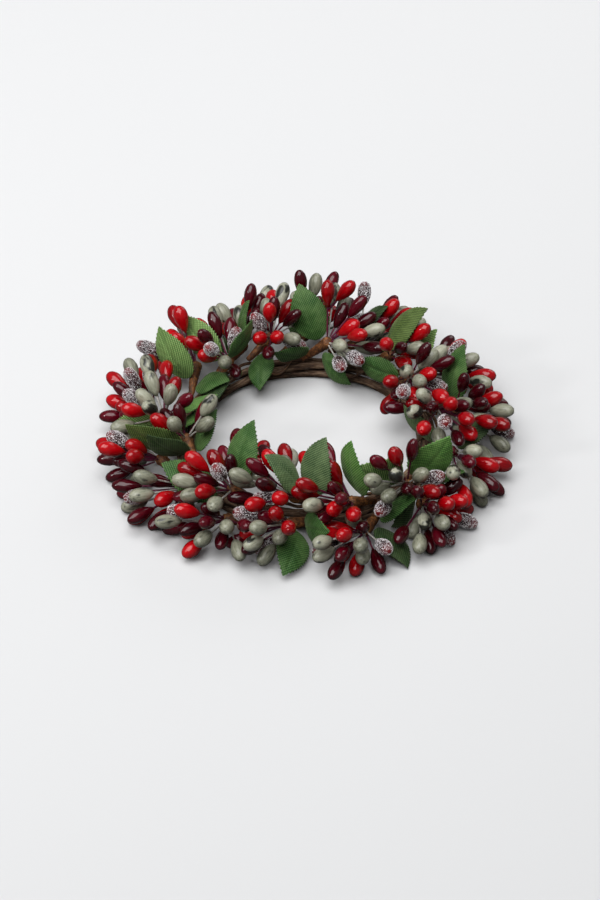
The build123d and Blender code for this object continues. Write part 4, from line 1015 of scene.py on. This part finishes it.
def make_table():
    """Make the pale table top, which fades into the backdrop."""
    mesh = bpy.data.meshes.new("table_top")
    corners = [(x * TABLE_REACH, y * TABLE_REACH, 0) for x, y in ((-1, -1), (1, -1), (1, 1), (-1, 1))]
    mesh.from_pydata(corners, [], [(0, 1, 2, 3)])
    floor = bpy.data.objects.new("table_top", mesh)
    bpy.context.scene.collection.objects.link(floor)
    tree = Tree("table_white")
    place = tree.place()
    x, y, _ = tree.split(place)
    # painted light: the table's colour rises towards the back as a painted fall-off of light, with a faint
    # grain on top
    level_with_painted_light = tree.math("ADD", tree.weigh((x, FLOOR_PAINTED_LIGHT_SLOPE[0]), (y, FLOOR_PAINTED_LIGHT_SLOPE[1])), FLOOR_LEVEL)
    paint = tree.math("MULTIPLY_ADD", tree.noise(place, scale=FLOOR_GRAIN_SCALE), FLOOR_GRAIN, level_with_painted_light)
    shown = tree.mix(1.0, FLOOR_TINT, paint, "MULTIPLY")
    away = tree.math("SQRT", tree.math("ADD", tree.math("POWER", x, 2.0), tree.math("POWER", y, 2.0)))
    far = tree.spread(away, FLOOR_FADE)
    seen = tree.seen()
    tree.finish(
        Base_Color=tree.mix(seen, FLOOR_BOUNCE, tree.mix(far, shown, BLACK)),
        Roughness=TABLE_ROUGHNESS,
        Specular_IOR_Level=TABLE_SPECULAR,
        Emission_Color=BACKDROP_TINT,
        Emission_Strength=tree.math("MULTIPLY", tree.math("MULTIPLY", far, seen), BACKDROP_LEVEL),
    )
    mesh.materials.append(tree.material)


def make_light():
    """Make the pale room and the soft studio lamps, which point at the middle of the ring."""
    world = bpy.data.worlds.new("studio")
    bpy.context.scene.world = world
    room = Tree("studio", world)
    strength = room.spread(room.seen(), (0.0, 1.0), (WORLD_LIGHT, BACKDROP_LEVEL))
    room.finish(Color=BACKDROP_TINT, Strength=strength)
    for name, place, size, power in LAMPS:
        light = bpy.data.lights.new(name, "AREA")
        light.shape = "SQUARE"
        light.size = size
        light.energy = power
        lamp = bpy.data.objects.new(name, light)
        bpy.context.scene.collection.objects.link(lamp)
        lamp.location = place
        lamp.rotation_euler = (-Vector(place)).to_track_quat("-Z", "Y").to_euler()


def make_camera():
    """Make the camera, in front of the ring and above it."""
    camera = bpy.data.cameras.new("camera")
    camera.lens = LENS
    camera.sensor_width = SENSOR
    camera.sensor_fit = "AUTO"
    camera.clip_start, camera.clip_end = CLIP
    view = bpy.data.objects.new("camera", camera)
    bpy.context.scene.collection.objects.link(view)
    tilt = math.radians(VIEW_ELEVATION)
    away = Vector((0, -math.cos(tilt), math.sin(tilt)))
    view.location = (Vector(VIEW_TARGET) + away * VIEW_DISTANCE) * MM
    view.rotation_euler = (-away).to_track_quat("-Z", "Y").to_euler()
    bpy.context.scene.camera = view
    bpy.context.scene.view_settings.view_transform = "Standard"


def main():
    """Make the stage, then dress the pips, the sprays, the vine, the tendril and the threads."""
    make_table()
    make_light()
    make_camera()

    pip_skins = {
        "red": lacquer("red_lacquer", RED, coat=0.4),
        "burgundy": lacquer("burgundy_lacquer", BURGUNDY, coat=0.3),
        "sage": pearl("sage_pearl"),
        "frosted": frosted_core("frosted_core"),
    }
    sugar_skin = sugar("sugar_grains")
    for kind, skin in pip_skins.items():
        for quarter in QUARTERS:
            make_pips(kind, quarter, skin, sugar_skin)

    cloth = leaf_cloth("leaf_cloth")
    paper = tape_paper("crepe_tape")
    for spray in SPRAYS:
        make_tape(spray, paper)
        tape_points = np.concatenate([solid[0] for solid in islands(f"{spray}_tape")])
        node = f"{spray}_leaves"
        draw = draw_for(node)
        for number, (solid, look) in enumerate(zip(islands(node), LEAF_TINTS_AND_LIGHT[spray]), 1):
            make_leaf(f"{spray}_leaf_{number}", node, solid, tape_points, CLOTH_TINTS_AND_LIGHT[look], cloth, draw)

    vine_skin = bark("vine_bark", VINE_BARK)
    tendril_skin = bark("tendril_bark", TENDRIL_BARK)
    make_vine("vine", "vine_ring", vine_line, VINE_RADIUS, vine_skin, **VINE_DIVISIONS)
    make_vine("tendril", "wandering_tendril", tendril_line, TENDRIL_RADIUS, tendril_skin, **TENDRIL_DIVISIONS)

    stem_skins = {
        "white": stem_thread("white_stem", WHITE_STEM, roughness=(0.5, 0.7)),
        "dark": stem_thread("dark_stem", DARK_STEM, roughness=(0.35, 0.55)),
    }
    for colour, skin in stem_skins.items():
        for quarter in QUARTERS:
            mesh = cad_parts[f"{colour}_threads_{quarter}"].data
            mesh.materials.clear()
            mesh.materials.append(skin)


main()
